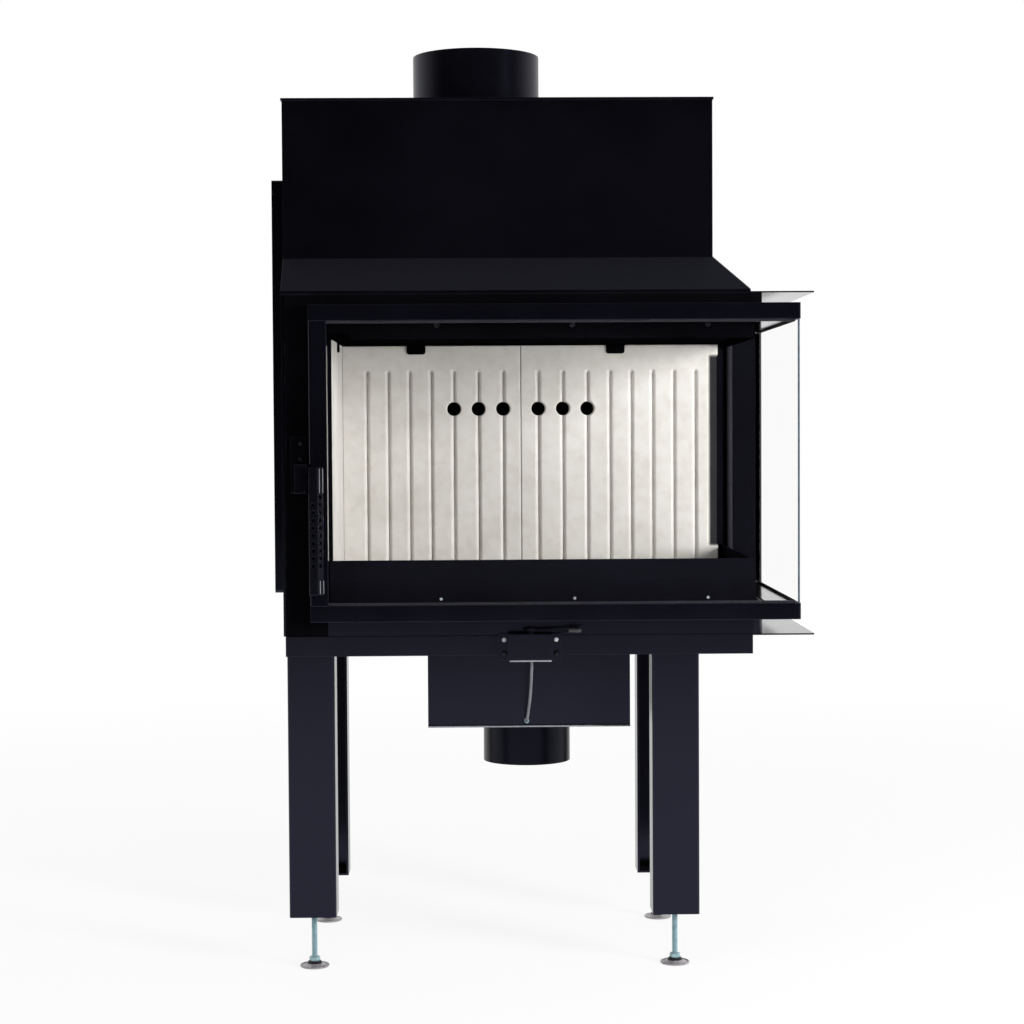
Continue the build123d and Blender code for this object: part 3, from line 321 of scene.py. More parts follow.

# The back panels are the same casting, but the cove along the door post is painted dark,
# a painted shade for the post's shadow. It lies behind the panel's face, near its right
# end. The painted shade fades in from none to full at its left, its lower and upper edge.
back_ceramic, tree, shader, place, colour = refractory("ceramic_refractory_cast_cove_painted_shade")
shader.inputs["Specular IOR Level"].default_value = 0.0
spot = add(tree, "SeparateXYZ", Vector=place)
cove_shade_left = (corner[0] + 607.5 * mm, corner[0] + 613.0 * mm)
cove_shade_low = (553.0 * mm, 556.0 * mm)
cove_shade_high = (841.0 * mm, 837.0 * mm)
cove_shading = 1.0
for axis, (bare, full) in (("Z", cove_shade_low), ("Z", cove_shade_high), ("X", cove_shade_left)):
    edge = add(tree, "MapRange", Value=spot.outputs[axis], From_Min=bare, From_Max=full)
    share = add(tree, "Math", {"operation": "MULTIPLY"}, _0=cove_shading, _1=edge.outputs["Result"])
    cove_shading = share.outputs[0]
# Painted shade: inside the cove the colour turns to dark grey.
dark = add(tree, "Mix", {"data_type": "RGBA"}, _0=cove_shading, _6=colour)
dark.inputs[7].default_value = linear("#28282a")
tree.links.new(dark.outputs[2], shader.inputs["Base Color"])


def spaced(low, high, step, fine_step, *fine):
    """Grid lines a step apart, and closer inside each (low, high) stretch."""
    lines = [np.linspace(low, high, int((high - low) / step) + 2)]
    for start, end in fine:
        start, end = max(start, low), min(end, high)
        lines.append(np.linspace(start, end, int((end - start) / fine_step) + 2))
    return np.unique(np.concatenate(lines).round(2))


def turned(profile, sides=36):
    """A piece turned round the upright axis from (radius, height, hexagon) rows.

    The radius at angle a is r, or r cos 30 / cos(a mod 60 - 30) where hexagon is 1.
    """
    rows = np.array([row if len(row) == 3 else (*row, 0) for row in profile], float)
    turn = np.linspace(0, 2 * pi, sides, endpoint=False)
    flats = cos(pi / 6) / np.cos(turn % (pi / 3) - pi / 6)
    radius = rows[:, :1] * (1 + rows[:, 2:] * (flats - 1))
    height = np.repeat(rows[:, 1:2], sides, axis=1)
    return loft(np.stack([radius * np.cos(turn), radius * np.sin(turn), height], axis=-1))


def drill_holes(panel, holes):
    """Bores the air holes, each flared at its mouth, through a panel from its front."""
    mouth = [(12.6, -8), (12.0, -0.6), (11.2, 0.4), (10.6, 1.6)]
    drill = turned(mouth + [(hole_radius, 3.4), (hole_radius, 40)], 48)
    drills = join([lay(drill, (x, lining_front, hole_height), "back") for x in holes])
    cutter = make(panel.name + "_drills", drills, back_ceramic, "body")
    bore = panel.modifiers.new("air_holes", "BOOLEAN")
    bore.operation = "DIFFERENCE"
    bore.solver = "EXACT"
    bore.object = cutter
    bored = panel.evaluated_get(bpy.context.evaluated_depsgraph_get())
    mesh = bpy.data.meshes.new_from_object(bored)
    panel.modifiers.clear()
    panel.data = mesh
    bpy.data.objects.remove(cutter)
    mesh.set_sharp_from_angle(angle=radians(panel_crease))


def back_panel(name, low_x, high_x, grooves, holes, replaced, square=False, coved=False):
    """A grooved panel, its front a height field over x and z.

    A groove is 6.2 (1 - r)^2.6 deep, where r is the distance from its line over its half
    width, so it is sharp at the bottom and rolls out at its rims and round its top end.
    The cove is the arc of an 18 mm circle, and the edges roll back on a small radius,
    but for a square left edge that butts against the side slab.
    """
    lines = np.array(grooves + holes)
    reach = groove_half + 1
    fine = [(line - reach, line + reach) for line in lines]
    fine += [(low_x, low_x + edge_roll + 1), (high_x - 20, high_x)]
    x = spaced(low_x, high_x, 7.0, 0.7, *fine)[None, :]
    z = spaced(
        lining_low,
        lining_high,
        9.0,
        0.8,
        (lining_low, lining_low + edge_roll + 1),
        (groove_top - 2, groove_top + reach),
        (lining_high - edge_roll - 1, lining_high),
        (cove_low - 1.8, cove_low + 3.2),
        (cove_high - 4.0, cove_high + 2.0),
    )[:, None]
    away = np.hypot(x[..., None] - lines, np.maximum(z - groove_top, 0)[..., None])
    depth = (groove_depth * np.clip(1 - away / groove_half, 0, 1) ** 2.6).max(axis=-1)
    if coved:
        arc = np.sqrt(np.clip(cove_radius**2 - (cove_axis - x) ** 2, 0, None)) - cove_rim
        low_end = np.clip((z - cove_low) / cove_run_out, 0, 1)
        high_end = np.clip((cove_high - z) / cove_run_out, 0, 1)
        depth = np.maximum(depth, np.clip(arc, 0, None) * (low_end * high_end))
    beside = high_x - x if square else np.minimum(x - low_x, high_x - x)
    edge = np.minimum(beside, np.minimum(z - lining_low, lining_high - z))
    roll = edge_roll - np.sqrt(edge_roll**2 - np.clip(edge_roll - edge, 0, None) ** 2)
    sway = 0.1 * (1 + np.sin(x / 31.0 + z / 57.0) * np.cos(z / 41.0 - x / 83.0))
    y = np.minimum(lining_front + depth + roll + sway, lining_back - 1)
    front = np.stack(np.broadcast_arrays(x, y, z), axis=-1)

    rows, columns = front.shape[:2]
    index = np.arange(rows * columns).reshape(rows, columns)
    quads = np.stack([index[:-1, :-1], index[:-1, 1:], index[1:, 1:], index[1:, :-1]], axis=-1)
    rim = np.concatenate([index[0, :-1], index[:-1, -1], index[-1, :0:-1], index[:0:-1, 0]])
    behind = rows * columns + np.arange(len(rim))
    sides = np.stack([rim, behind, np.roll(behind, -1), np.roll(rim, -1)], axis=-1)
    back = front.reshape(-1, 3)[rim] * (1, 0, 1) + (0, lining_back, 0)
    points = np.concatenate([front.reshape(-1, 3), back])
    corners = np.concatenate([quads.ravel(), sides.ravel(), behind[::-1]])
    sizes = np.concatenate([np.full((rows - 1) * (columns - 1) + len(rim), 4), [len(rim)]])
    skin = (points, corners, sizes)
    panel = make(name, skin, back_ceramic, "body", replaced, panel_crease)
    drill_holes(panel, holes)


panel_left, panel_right, joint_half = 61.2, 623.0, 0.3
first_groove, groove_pitch = 134.0, 32.0
first_hole, hole_pitch = 26.4, 36.8
left_grooves = [seam - first_groove - groove_pitch * k for k in range(4)]
right_grooves = [seam + first_groove + groove_pitch * k for k in range(5)]
left_holes = [seam - first_hole - hole_pitch * k for k in range(3)]
right_holes = [seam + first_hole + hole_pitch * k for k in range(3)]
back_panel(
    "back_panel_left",
    panel_left,
    seam - joint_half,
    left_grooves,
    left_holes,
    ("back_lining_left",),
    square=True,
)
back_panel(
    "back_panel_right",
    seam + joint_half,
    panel_right,
    right_grooves,
    right_holes,
    ("back_lining_right",),
    coved=True,
)


# Lining clips. Three straps of painted sheet, two bent over the top of the back panels
# and one over the side slab, with rounded corners on the tab that shows.

clip_path = np.array(
    [(376.3, 843.5), (376.3, 854.0), (375.4, 855.8), (373.8, 856.5)]
    + [(346.4, 856.5), (344.6, 855.8), (343.7, 854.0), (343.7, 846.5)]
    + [(343.7, 845.3), (343.7, 844.1), (343.7, 843.3), (343.7, 842.8), (343.7, 842.5)]
)


def strap(path, half_width, thickness, x):
    """A bent strip: a thin rectangle carried along a line in the upright plane at x."""
    run = np.gradient(path, axis=0)
    run /= np.linalg.norm(run, axis=1, keepdims=True)
    out = np.stack([run[:, 1], -run[:, 0]], axis=1) * thickness / 2
    width = np.broadcast_to(half_width, len(path))
    outer, inner = path + out, path - out
    ring = [
        np.column_stack([x - width, outer]),
        np.column_stack([x - width, inner]),
        np.column_stack([x + width, inner]),
        np.column_stack([x + width, outer]),
    ]
    return loft(np.stack(ring, axis=1))


clip_half = np.array([14.0] * 8 + [13.8, 13.2, 12.4, 11.3, 9.9])
clip_gauge, clip_middle, clip_spread = 1.9, seam - 7.0, 149.0
clips = [
    strap(clip_path, clip_half, clip_gauge, clip_middle + side * clip_spread) for side in (-1, 1)
]

# The third strap is the same one, given a quarter turn to hook over the side slab.
side_clip_y, side_clip_shift = 232.0, 406.0
side_clip = strap(clip_path, clip_half, clip_gauge, side_clip_y)
turned_in = side_clip[0][:, [1, 0, 2]] * (-1, 1, 1) + (side_clip_shift, 0, 0)
clips.append((turned_in, side_clip[1], side_clip[2]))
make("lining_clip_straps", join(clips), matt_paint, "body", ("lining_clips",))


# Panel screws. Button heads with a hexagon socket, turned from steel and blackened in an
# oxide bath: dark, a little glossy, with rims that catch a point of light.


def mottled(name, roughness, tones, blotch, grain, strength=0.2, depth=0.05, metallic=0.0):
    """Two tones in blotches about blotch mm across, and a relief of grain mm, depth mm high."""
    material, tree, shader, place = finish(name, roughness, metallic=metallic)
    tint = ramp(tree, noise(tree, place, blotch), (0.3, tones[0]), (0.7, tones[1]))
    tree.links.new(tint, shader.inputs["Base Color"])
    relief = add(
        tree, "Bump", Strength=strength, Distance=depth * mm, Height=noise(tree, place, grain)
    )
    tree.links.new(relief.outputs["Normal"], shader.inputs["Normal"])
    return material


black_oxide = mottled(
    "steel_black_oxide", 0.34, ("#2a2a2e", "#3d3d42"), blotch=3.0, grain=0.8, metallic=1.0
)

button = turned(
    [(1.7, -6), (2, -5.6), (2, 0), (3.5, 0), (3.5, 0.5), (3.3, 1.1), (2.8, 1.7), (2.1, 2.1)]
    + [(1.45, 2.2), (1.3, 2.15, 1), (1.25, 0.9, 1)]
)
small_dome = turned(
    [(1.3, -6), (1.5, -5.6), (1.5, 0), (2.0, 0), (2.0, 0.4), (1.7, 0.9), (1.0, 1.2), (0.4, 1.3)]
)
head_zinc, tree, shader, place = finish("zinc_plate_white_matt", 0.35, metallic=0.3)
tint = ramp(tree, noise(tree, place, 2.5), (0.3, "#b4b8bc"), (0.7, "#d0d4d8"))
tree.links.new(tint, shader.inputs["Base Color"])
deflector_places = [(seam + 63.0 + k * 182.0, 9.0, 870.0) for k in (-1, 0, 1)]
guard_places = [(seam + 64.5 + k * 180.0, 9.0, 501.8) for k in (-1, 0, 1)]
keeper_places = [(26.0, -3.0, 713.0), (26.0, -3.0, 692.0)]
buttons = join([lay(button, at, "front") for at in deflector_places + keeper_places])
make("panel_button_screws", buttons, black_oxide, "body", ("panel_screws",))
domes = join([lay(small_dome, at, "front") for at in guard_places])
make("guard_dome_screws", domes, head_zinc, "body")


# Heat shields. Shallow folded pans, screwed to brackets through their side flanges: the
# left one at its rear, and the rear one at both sides.

shield_low, shield_high, screw_inset = 508.0, 1070.0, 60.0
flange_screws = [((-8.0, 400.0), "back"), ((60.0, 448.0), "left"), ((523.0, 448.0), "right")]
shield_screws = [
    lay(button, (*at, z), facing)
    for at, facing in flange_screws
    for z in (shield_low + screw_inset, shield_high - screw_inset)
]
make("heat_shield_screws", join(shield_screws), black_oxide, "body")


# Rope seals. Glass-fibre rope, braided on a round former and graphited dark grey, glued
# in the door's channel, where it is pressed flat, and down the front of the rear post.

rope_finish, tree, shader, place = finish("glass_fibre_rope_braided", 0.85, specular=0.3)
strand = noise(tree, place, 1.8, detail=4.0)
tint = ramp(tree, strand, (0.3, "#1f1f24"), (0.7, "#303036"))
tree.links.new(tint, shader.inputs["Base Color"])
shader.inputs["Sheen Weight"].default_value = 0.05
shader.inputs["Sheen Roughness"].default_value = 0.5
fuzz = add(tree, "Bump", Strength=0.5, Distance=0.3 * mm, Height=noise(tree, place, 0.7))
tree.links.new(fuzz.outputs["Normal"], shader.inputs["Normal"])


def rounded_path(points, radii, step):
    """Points about a step apart along straight runs that meet in arcs.

    An arc of radius r turns from direction a to b by angle f: it starts r tan(f / 2)
    before the corner, and at angle t it is at r sin t along a and r (1 - cos t) across.
    """
    points = [np.array(point, float) for point in points]
    stops, stretches = points[0], []

    def run(start, end):
        count = max(int(np.linalg.norm(end - start) / step), 1)
        return start + (end - start) * np.linspace(0, 1, count, endpoint=False)[:, None]

    for before, here, after, radius in zip(points, points[1:], points[2:], radii):
        ahead = (here - before) / np.linalg.norm(here - before)
        onward = (after - here) / np.linalg.norm(after - here)
        angle = np.arccos(np.clip(ahead @ onward, -1, 1))
        across = (onward - cos(angle) * ahead) / sin(angle)
        start = here - ahead * radius * np.tan(angle / 2)
        stretches.append(run(stops, start))
        turn = np.linspace(0, angle, max(int(radius * angle / step), 4), endpoint=False)[:, None]
        stretches.append(start + radius * (np.sin(turn) * ahead + (1 - np.cos(turn)) * across))
        stops = here + onward * radius * np.tan(angle / 2)
    return np.concatenate([*stretches, run(stops, points[-1]), points[-1][None]])


def along(path, beside, half_beside, half_out, sides, ridge=lambda s, a: 1.0, power=1.0):
    """A section carried along a path: (cos a, sin a) drawn out to its two half widths.

    beside is the way of the first half width. A power under 1 squares the section's
    corners, and ridge gives the height of its surface at distance s and angle a.
    """
    run = np.gradient(path, axis=0)
    run /= np.linalg.norm(run, axis=1, keepdims=True)
    first = np.array(beside, float) - (run @ np.array(beside, float))[:, None] * run
    first /= np.linalg.norm(first, axis=1, keepdims=True)
    second = np.cross(run, first)
    length = np.concatenate([[0], np.cumsum(np.linalg.norm(np.diff(path, axis=0), axis=1))])
    turn = np.linspace(0, 2 * pi, sides, endpoint=False)[None, :]
    height = ridge(length[:, None], turn)
    one = np.sign(np.cos(turn)) * np.abs(np.cos(turn)) ** power * half_beside * height
    two = np.sign(np.sin(turn)) * np.abs(np.sin(turn)) ** power * half_out * height
    one = np.broadcast_to(one, (len(path), sides))[..., None]
    two = np.broadcast_to(two, (len(path), sides))[..., None]
    return loft(path[:, None] + one * first[:, None] + two * second[:, None])


def braid(strands, pitch, depth):
    """Two families of strands, |cos u| and |cos v| high, that cross over and under.

    u and v are the strand number times the angle, plus and minus the distance over the
    pitch; the family on top changes with cos u cos v.
    """

    def height(s, a):
        u = strands * a / 2 + pi * s / pitch
        v = strands * a / 2 - pi * s / pitch
        over = 0.5 + 0.5 * np.tanh(3 * np.cos(2 * u) * np.cos(2 * v))
        lift = over * np.abs(np.cos(u)) ** 0.7 + (1 - over) * np.abs(np.cos(v)) ** 0.7
        return 1 - depth * (1 - lift)

    return height


strand_pitch = 5.2
post_radius = 4.4
post_line = rounded_path([(645.0, 383.3, 510.3), (645.0, 383.3, 861.5)], [], 0.75)
post_rope = along(
    post_line, (1, 0, 0), post_radius, post_radius, 40, braid(12, strand_pitch, 0.16)
)
make("post_rope", post_rope, rope_finish, "body", ("post_seal",))

# The door has one length round the corner in each rail, and one up the left stile, pressed
# to 8 by 3.7 mm in its channel.
rope_half_width, rope_half_depth = 4.0, 1.85
rope_y, rope_x, rope_bend = -2.15, 648.15, 19.15
rope_lines = []
for rope_z in (487.8, 884.9):
    bend = [(44.0, rope_y, rope_z), (rope_x, rope_y, rope_z), (rope_x, 382.0, rope_z)]
    rope_lines.append((rounded_path(bend, [rope_bend], 1.2), (0, 0, 1)))
upright = rounded_path([(48.0, rope_y, 491.8), (48.0, rope_y, 880.9)], [], 1.2)
rope_lines.append((upright, (1, 0, 0)))
door_braid = braid(10, strand_pitch, 0.14)
door_ropes = [
    along(line, beside, rope_half_width, rope_half_depth, 28, door_braid, power=0.75)
    for line, beside in rope_lines
]
make("door_rope", join(door_ropes), rope_finish, "door", ("door_seal",))


# Glazed door. Two 4 mm panes of clear ceramic glass, bare ground edges meeting at the
# corner, stand between folded rails; the frame's paint is smoother than the body's, and is
# rubbed lighter along its edges by hands and cleaning.

pane_glass, tree, shader, place = finish("ceramic_glass_clear_polished", 0.01)
shader.inputs["Base Color"].default_value = (1, 1, 1, 1)
shader.inputs["Transmission Weight"].default_value = 1.0
# Light crosses a pane straight but for 1 mm aside, so the IOR is near 1: a bend at one face
# would show the white room as a veil over what is behind.
shader.inputs["IOR"].default_value = 1.02
ripple = noise(tree, place, 90.0, detail=1.0)
wave = add(tree, "Bump", Strength=0.02, Distance=0.2 * mm, Height=ripple)
tree.links.new(wave.outputs["Normal"], shader.inputs["Normal"])
clear = add(tree, "BsdfTransparent")
blend = add(tree, "MixShader", _0=0.05, _1=clear.outputs[0], _2=shader.outputs[0])
tree.links.new(blend.outputs[0], tree.nodes["Material Output"].inputs["Surface"])
dress(pane_glass, "front_glass", "side_glass")

door_paint = stove_paint(
    "stove_paint_gloss_door", ((0.3, "#050509"), (0.7, "#08080e")), "#1c1c25", 0.11
)
dress(door_paint, "door_bottom_rail", "door_top_rail", "door_left_stile", "side_ledges")

# Woven tape, folded over the panes' edges, stands out of both rails as a thin dark line.
bottom_rail_top, top_rail_underside = 495.8, 874.9
tape_y, tape_x, tape_rise = -17.7, 685.8, 1.6
tape_lines = [
    rounded_path([(60.0, tape_y, z), (tape_x, tape_y, z), (tape_x, 377.0, z)], [2.0], 6.0)
    for z in (bottom_rail_top + tape_rise, top_rail_underside - tape_rise)
]
tapes = [along(line, (0, 0, 1), 1.8, 0.6, 12, power=0.5) for line in tape_lines]
make("glass_edge_tape", join(tapes), rope_finish, "door")

# The panes meet in a ground edge, which shows as a thin blue-grey line up the corner.
ground_edge = mottled(
    "ceramic_glass_edge_ground", 0.55, ("#3f4a53", "#4b5761"), blotch=9.0, grain=0.8
)
edge_line = rounded_path([(690.2, -20.8, 492.0), (690.2, -20.8, 879.0)], [], 4.0)
edge_strip = along(edge_line, (1, 0, 0), 1.3, 1.5, 16, power=0.5)
make("glass_corner_edge", edge_strip, ground_edge, "door")


# Hinge pins. Turned steel, zinc plated: a headed pin dropped in at the top, and a
# shouldered one below that carries the door's weight.


def zinc_plate(name, cool, pale, roughness, metallic=1.0):
    """Plated steel: cloudy with handling, finely scratched.

    Small bright pieces are only part metallic here, because they have bright rooms to
    mirror in the photo and a dark one in this studio.
    """
    material, tree, shader, place = finish(name, roughness, metallic=metallic)
    cloud = noise(tree, place, 7.0, detail=4.0)
    tint = ramp(tree, cloud, (0.3, cool), (0.7, pale))
    sheen = add(
        tree, "MapRange", Value=cloud, To_Min=roughness - 0.08, To_Max=roughness + 0.10
    )
    graze = add(
        tree, "Bump", Strength=0.15, Distance=0.05 * mm, Height=noise(tree, place, 0.9)
    )
    tree.links.new(tint, shader.inputs["Base Color"])
    tree.links.new(sheen.outputs["Result"], shader.inputs["Roughness"])
    tree.links.new(graze.outputs["Normal"], shader.inputs["Normal"])
    return material


bright_zinc = zinc_plate("zinc_plate_blue_passivated", "#84a4ac", "#a6c2c9", 0.3, 0.45)
lower_pin = turned(
    [(6.4, 462.7), (8, 463.6), (8, 466.7), (5, 466.7), (5, 472.7), (8, 472.7), (8, 474.1)]
    + [(5, 474.1), (5, 490.4), (3.9, 491.7)]
)
upper_pin = turned(
    [(3.9, 878.0), (5, 879.3), (5, 904.0), (8, 904.0), (8, 906.6), (7.3, 907.6), (6, 908.0)]
)
hinge_axis = (671.0, 394.0, 0.0)
pins = join([lay(lower_pin, hinge_axis), lay(upper_pin, hinge_axis)])
make("hinge_turned_pins", pins, bright_zinc, "body", ("hinge_pins",))


# Door handle. A folded perforated grip on a riveted pivot, with its latch plate behind;
# the same paint, worn shinier than the rest where it is held.

handle_paint = stove_paint(
    "stove_paint_satin_handled", ((0.3, "#060609"), (0.7, "#09090d")), "#1e1e26", 0.13
)
dress(handle_paint, "handle_grip", "handle_hook", "latch_keeper")

pivot_rivet = turned(
    [(4.4, 20.7), (5.5, 21.3), (5.5, 22.2), (4, 22.2), (4, 35.3), (6, 35.3), (6, 36.2)]
    + [(5.4, 37.0), (4, 37.3)]
)
pivot_place = (48.0, 0.0, 666.0)
pivot = lay(pivot_rivet, pivot_place, "front")
make("handle_rivet", pivot, black_oxide, "door", ("handle_pivot",))

# Above and below its holes the grip's fold carries two light lines, a painted highlight where its
# edges catch the light.
highlight_edge = mottled(
    "steel_edge_painted_highlight", 0.4, ("#6f7176", "#85878c"), blotch=5.0, grain=0.7, strength=0.3
)
fold_slant = 93.9
fold_highlight_lines = [
    rounded_path([(x, x - fold_slant, low), (x, x - fold_slant, high)], [], 4.0)
    for x in (52.8, 57.0)
    for low, high in ((513.5, 531.0), (647.0, 679.5))
]
fold_highlights = [along(line, (1, 0, 0), 0.5, 0.5, 12) for line in fold_highlight_lines]
make("handle_fold_painted_highlights", join(fold_highlights), highlight_edge, "handle")


# Air control. A folded housing on the skirt hides a lever's shaft; the lever pulls the
# cable that turns the damper in the air box. Two hexagon screws hold the housing above
# and two blackened ones below. Its sheared lower edge and the box's are bare steel, drawn
# lighter still as a painted highlight.

hexagon_head = turned(
    [(1.7, -3.5), (2, -3.2), (2, 0), (2.9, 0), (3.2, 0.4, 1), (3.2, 1.9, 1)]
    + [(2.6, 2.4), (1.5, 2.5)]
)
screw_columns, flange_face = (296.0, 366.0), -4.0
upper_row, lower_row = 447.5, 429.5
upper_screws = [lay(hexagon_head, (x, flange_face, upper_row), "front") for x in screw_columns]
lower_screws = [lay(button, (x, flange_face, lower_row), "front") for x in screw_columns]
make("control_screws_upper", join(upper_screws), head_zinc, "body", ("control_screws",))
make("control_screws_lower", join(lower_screws), black_oxide, "body")

# Painted highlight: light lines along the housing's and the box's lower edges.
edge_lines = [
    rounded_path([(303.2, -21.6, 420.5), (358.8, -21.6, 420.5)], [], 4.0),
    rounded_path([(192.0, 69.6, 320.6), (470.0, 69.6, 320.6)], [], 6.0),
]
edges = [along(line, (0, 1, 0), 1.0, 1.1, 12, power=0.5) for line in edge_lines]
make("sheared_edges_painted_highlight", join(edges), highlight_edge, "body")


def flat_bar(stations, low, high, sides=24, ridge=0.0):
    """A bar along x from (x, half width) stations: a squared oval section at each x.

    ridge makes the width rise and fall by that many mm, once in each 2 mm.
    """
    x, half = np.array(stations, float).T
    turn = np.linspace(0, 2 * pi, sides, endpoint=False)[None, :]
    ridged = (half + ridge * np.cos(pi * x))[:, None]
    wide = ridged * np.sign(np.cos(turn)) * np.abs(np.cos(turn)) ** 0.35
    tall = (high - low) / 2 * np.sign(np.sin(turn)) * np.abs(np.sin(turn)) ** 0.5
    tall = (high + low) / 2 + tall * np.ones((len(x), 1))
    return loft(np.stack([np.broadcast_to(x[:, None], wide.shape), wide, tall], axis=-1))


def swing(skin, angle, place):
    """A skin turned round the upright axis by an angle in degrees, then moved."""
    c, s = cos(radians(angle)), sin(radians(angle))
    points = skin[0] @ np.array([(c, s, 0), (-s, c, 0), (0, 0, 1)]) + np.array(place)
    return points, skin[1], skin[2]


# The arm is as wide as its round hub there, then straight. A shaft goes down from it, and
# a low rivet head lies on it.
hub_radius, arm_half, arm_low, arm_high = 9.0, 6.0, 459.5, 462.0
hub = np.linspace(-8.9, 7.0, 14)
arm = [(x, max(np.sqrt(hub_radius**2 - x * x), arm_half)) for x in hub]
arm += [(20.0, arm_half), (54.0, arm_half)]
lever_bar = join(
    [
        flat_bar(arm, arm_low, arm_high),
        turned([(3.4, 434.0), (4, 434.8), (4, arm_low)]),
        turned([(6.5, 461.9), (6.5, 462.6), (5.2, 463.3), (3.0, 463.5)]),
    ]
)
lever_place, lever_angle = (331.0, -11.0, 0.0), -12.0
lever = swing(lever_bar, lever_angle, lever_place)
make("lever_arm", lever, inner_paint, "lever", ("air_lever",))

# The dipped sleeve is ridged across, with a round end past 63 mm from the lever's axis.
vinyl = mottled(
    "vinyl_dipped_grey",
    0.45,
    ("#2b2b2d", "#3b3b3e"),
    blotch=6.0,
    grain=1.2,
    strength=0.25,
    depth=0.1,
)
sleeve_half, round_start, round_length = 7.2, 63.0, 6.4
sleeve_x = np.linspace(53.0, 69.0, 33)
past = np.clip(sleeve_x - round_start, 0, None) / round_length
sleeve_line = np.column_stack([sleeve_x, sleeve_half * np.sqrt(1 - past**2)])
sleeve = flat_bar(sleeve_line, 459.0, 463.5, ridge=0.25)
make("lever_sleeve", swing(sleeve, lever_angle, lever_place), vinyl, "lever")


# Control cable. A spiral-wound sheath in smooth grey plastic, clamped in the housing and
# in the ferrule on the air box, so its run is fixed.

sheath_finish = mottled(
    "polyethylene_sheath_extruded", 0.38, ("#5a5b60", "#6c6d73"), blotch=12.0, grain=2.2, depth=0.1
)
cable_points = [
    (333.0, -10.0, 420.5),
    (332.2, -7.0, 391.67),
    (330.0, 18.0, 357.26),
    (327.5, 50.0, 332.5),
    (327.5, 74.0, 327.5),
]


def smooth_line(points):
    """Points along the NURBS line that has these points as its controls."""
    curve = bpy.data.curves.new("route", "CURVE")
    curve.dimensions = "3D"
    line = curve.splines.new("NURBS")
    line.points.add(len(points) - 1)
    for control, point in zip(line.points, points):
        control.co = (*point, 1.0)
    line.order_u = 3
    line.use_endpoint_u = True
    line.resolution_u = 60
    route = bpy.data.objects.new("route", curve)
    mesh = bpy.data.meshes.new_from_object(route)
    flat = np.empty(len(mesh.vertices) * 3)
    mesh.vertices.foreach_get("co", flat)
    bpy.data.objects.remove(route)
    return flat.reshape(-1, 3)


def coil_marks(s, a):
    """The wound steel under the plastic shows as a shallow groove in each 1.5 mm."""
    return 1 - 0.035 * np.cos(2 * pi * s / 3.0) ** 8


sheath_radius = 2.0
sheath_line = smooth_line(cable_points)
sheath = along(sheath_line, (1, 0, 0), sheath_radius, sheath_radius, 20, coil_marks)
ferrule = turned(
    [(3.0, 0), (3.8, 0.6), (3.8, 4.0), (3.4, 4.4), (3.4, 7.0), (3.8, 7.4), (3.8, 11.2), (3.1, 12)]
)
make("cable_sheath_run", sheath, sheath_finish, "body", ("control_cable",))
make("cable_ferrule", lay(ferrule, (327.5, 74.2, 327.5), "back"), bright_zinc, "body")


# Damper. A stamped plate clamped in a split shaft inside the spigot's neck, plain
# galvanised steel, dull and spangled.

galvanised = zinc_plate("steel_galvanised_spangled", "#7f8486", "#a3a8aa", 0.5)
dress(galvanised, "damper_flap", "damper_shaft")


# Legs. Each folded channel is bolted up to the base pan through its top tab, and has a
# plain nut on its bottom tab that the levelling rod screws through.

leg_places = {
    "front_left": (35.75, 29.0),
    "front_right": (527.25, 29.0),
    "rear_left": (35.75, 308.0),
    "rear_right": (527.25, 308.0),
}
under_head = turned([(6.1, 0), (7.4, 0.7, 1), (7.4, 5.0, 1)], 48)
tab_nut = turned([(6.1, 0), (7.4, 0.8, 1), (7.4, 5.7, 1), (6.1, 6.5), (4.3, 6.5)], 48)
bolt_spread, under_top_tab, on_bottom_tab = 16, 420.4, 75.0
leg_bolts = []
for leg_x, leg_y in leg_places.values():
    for side in (-1, 1):
        leg_bolts.append(lay(under_head, (leg_x + side * bolt_spread, leg_y, under_top_tab)))
    leg_bolts.append(lay(tab_nut, (leg_x, leg_y, on_bottom_tab)))
make("leg_bolts_nuts", join(leg_bolts), bright_zinc, "body", ("leg_fasteners",))


# Levelling feet. An M8 rod in blue-white zinc stands in a moulded socket, in a steel pad
# pressed to a shallow dish with a rolled rim, and is locked by a hexagon nut.


def threaded_rod(radius, low, high, pitch=1.25, depth=0.55):
    """A screw thread: at angle a and height z the radius rises and falls by its depth.

    It is the radius less the depth times |2 frac(z / pitch - a / 2 pi) - 1|, and each end
    has a chamfer.
    """
    chamfer_length, chamfer_depth = 1.2, 0.7
    z = np.arange(low, high, pitch / 5)[:, None]
    turn = np.linspace(0, 2 * pi, 18, endpoint=False)[None, :]
    phase = (z / pitch - turn / (2 * pi)) % 1.0
    ends = np.clip(np.minimum(z - low, high - z) / chamfer_length, 0, 1)
    out = radius - depth * np.abs(2 * phase - 1) - chamfer_depth * (1 - ends)
    return loft(
        np.stack([out * np.cos(turn), out * np.sin(turn), np.broadcast_to(z, out.shape)], axis=-1)
    )


pad_steel = zinc_plate("steel_pad_pressed_bright", "#8a8589", "#a9a4a8", 0.28, 0.4)
socket_finish = mottled(
    "polyamide_black_moulded",
    0.5,
    ("#17161a", "#212024"),
    blotch=8.0,
    grain=0.6,
    strength=0.3,
    depth=0.08,
)

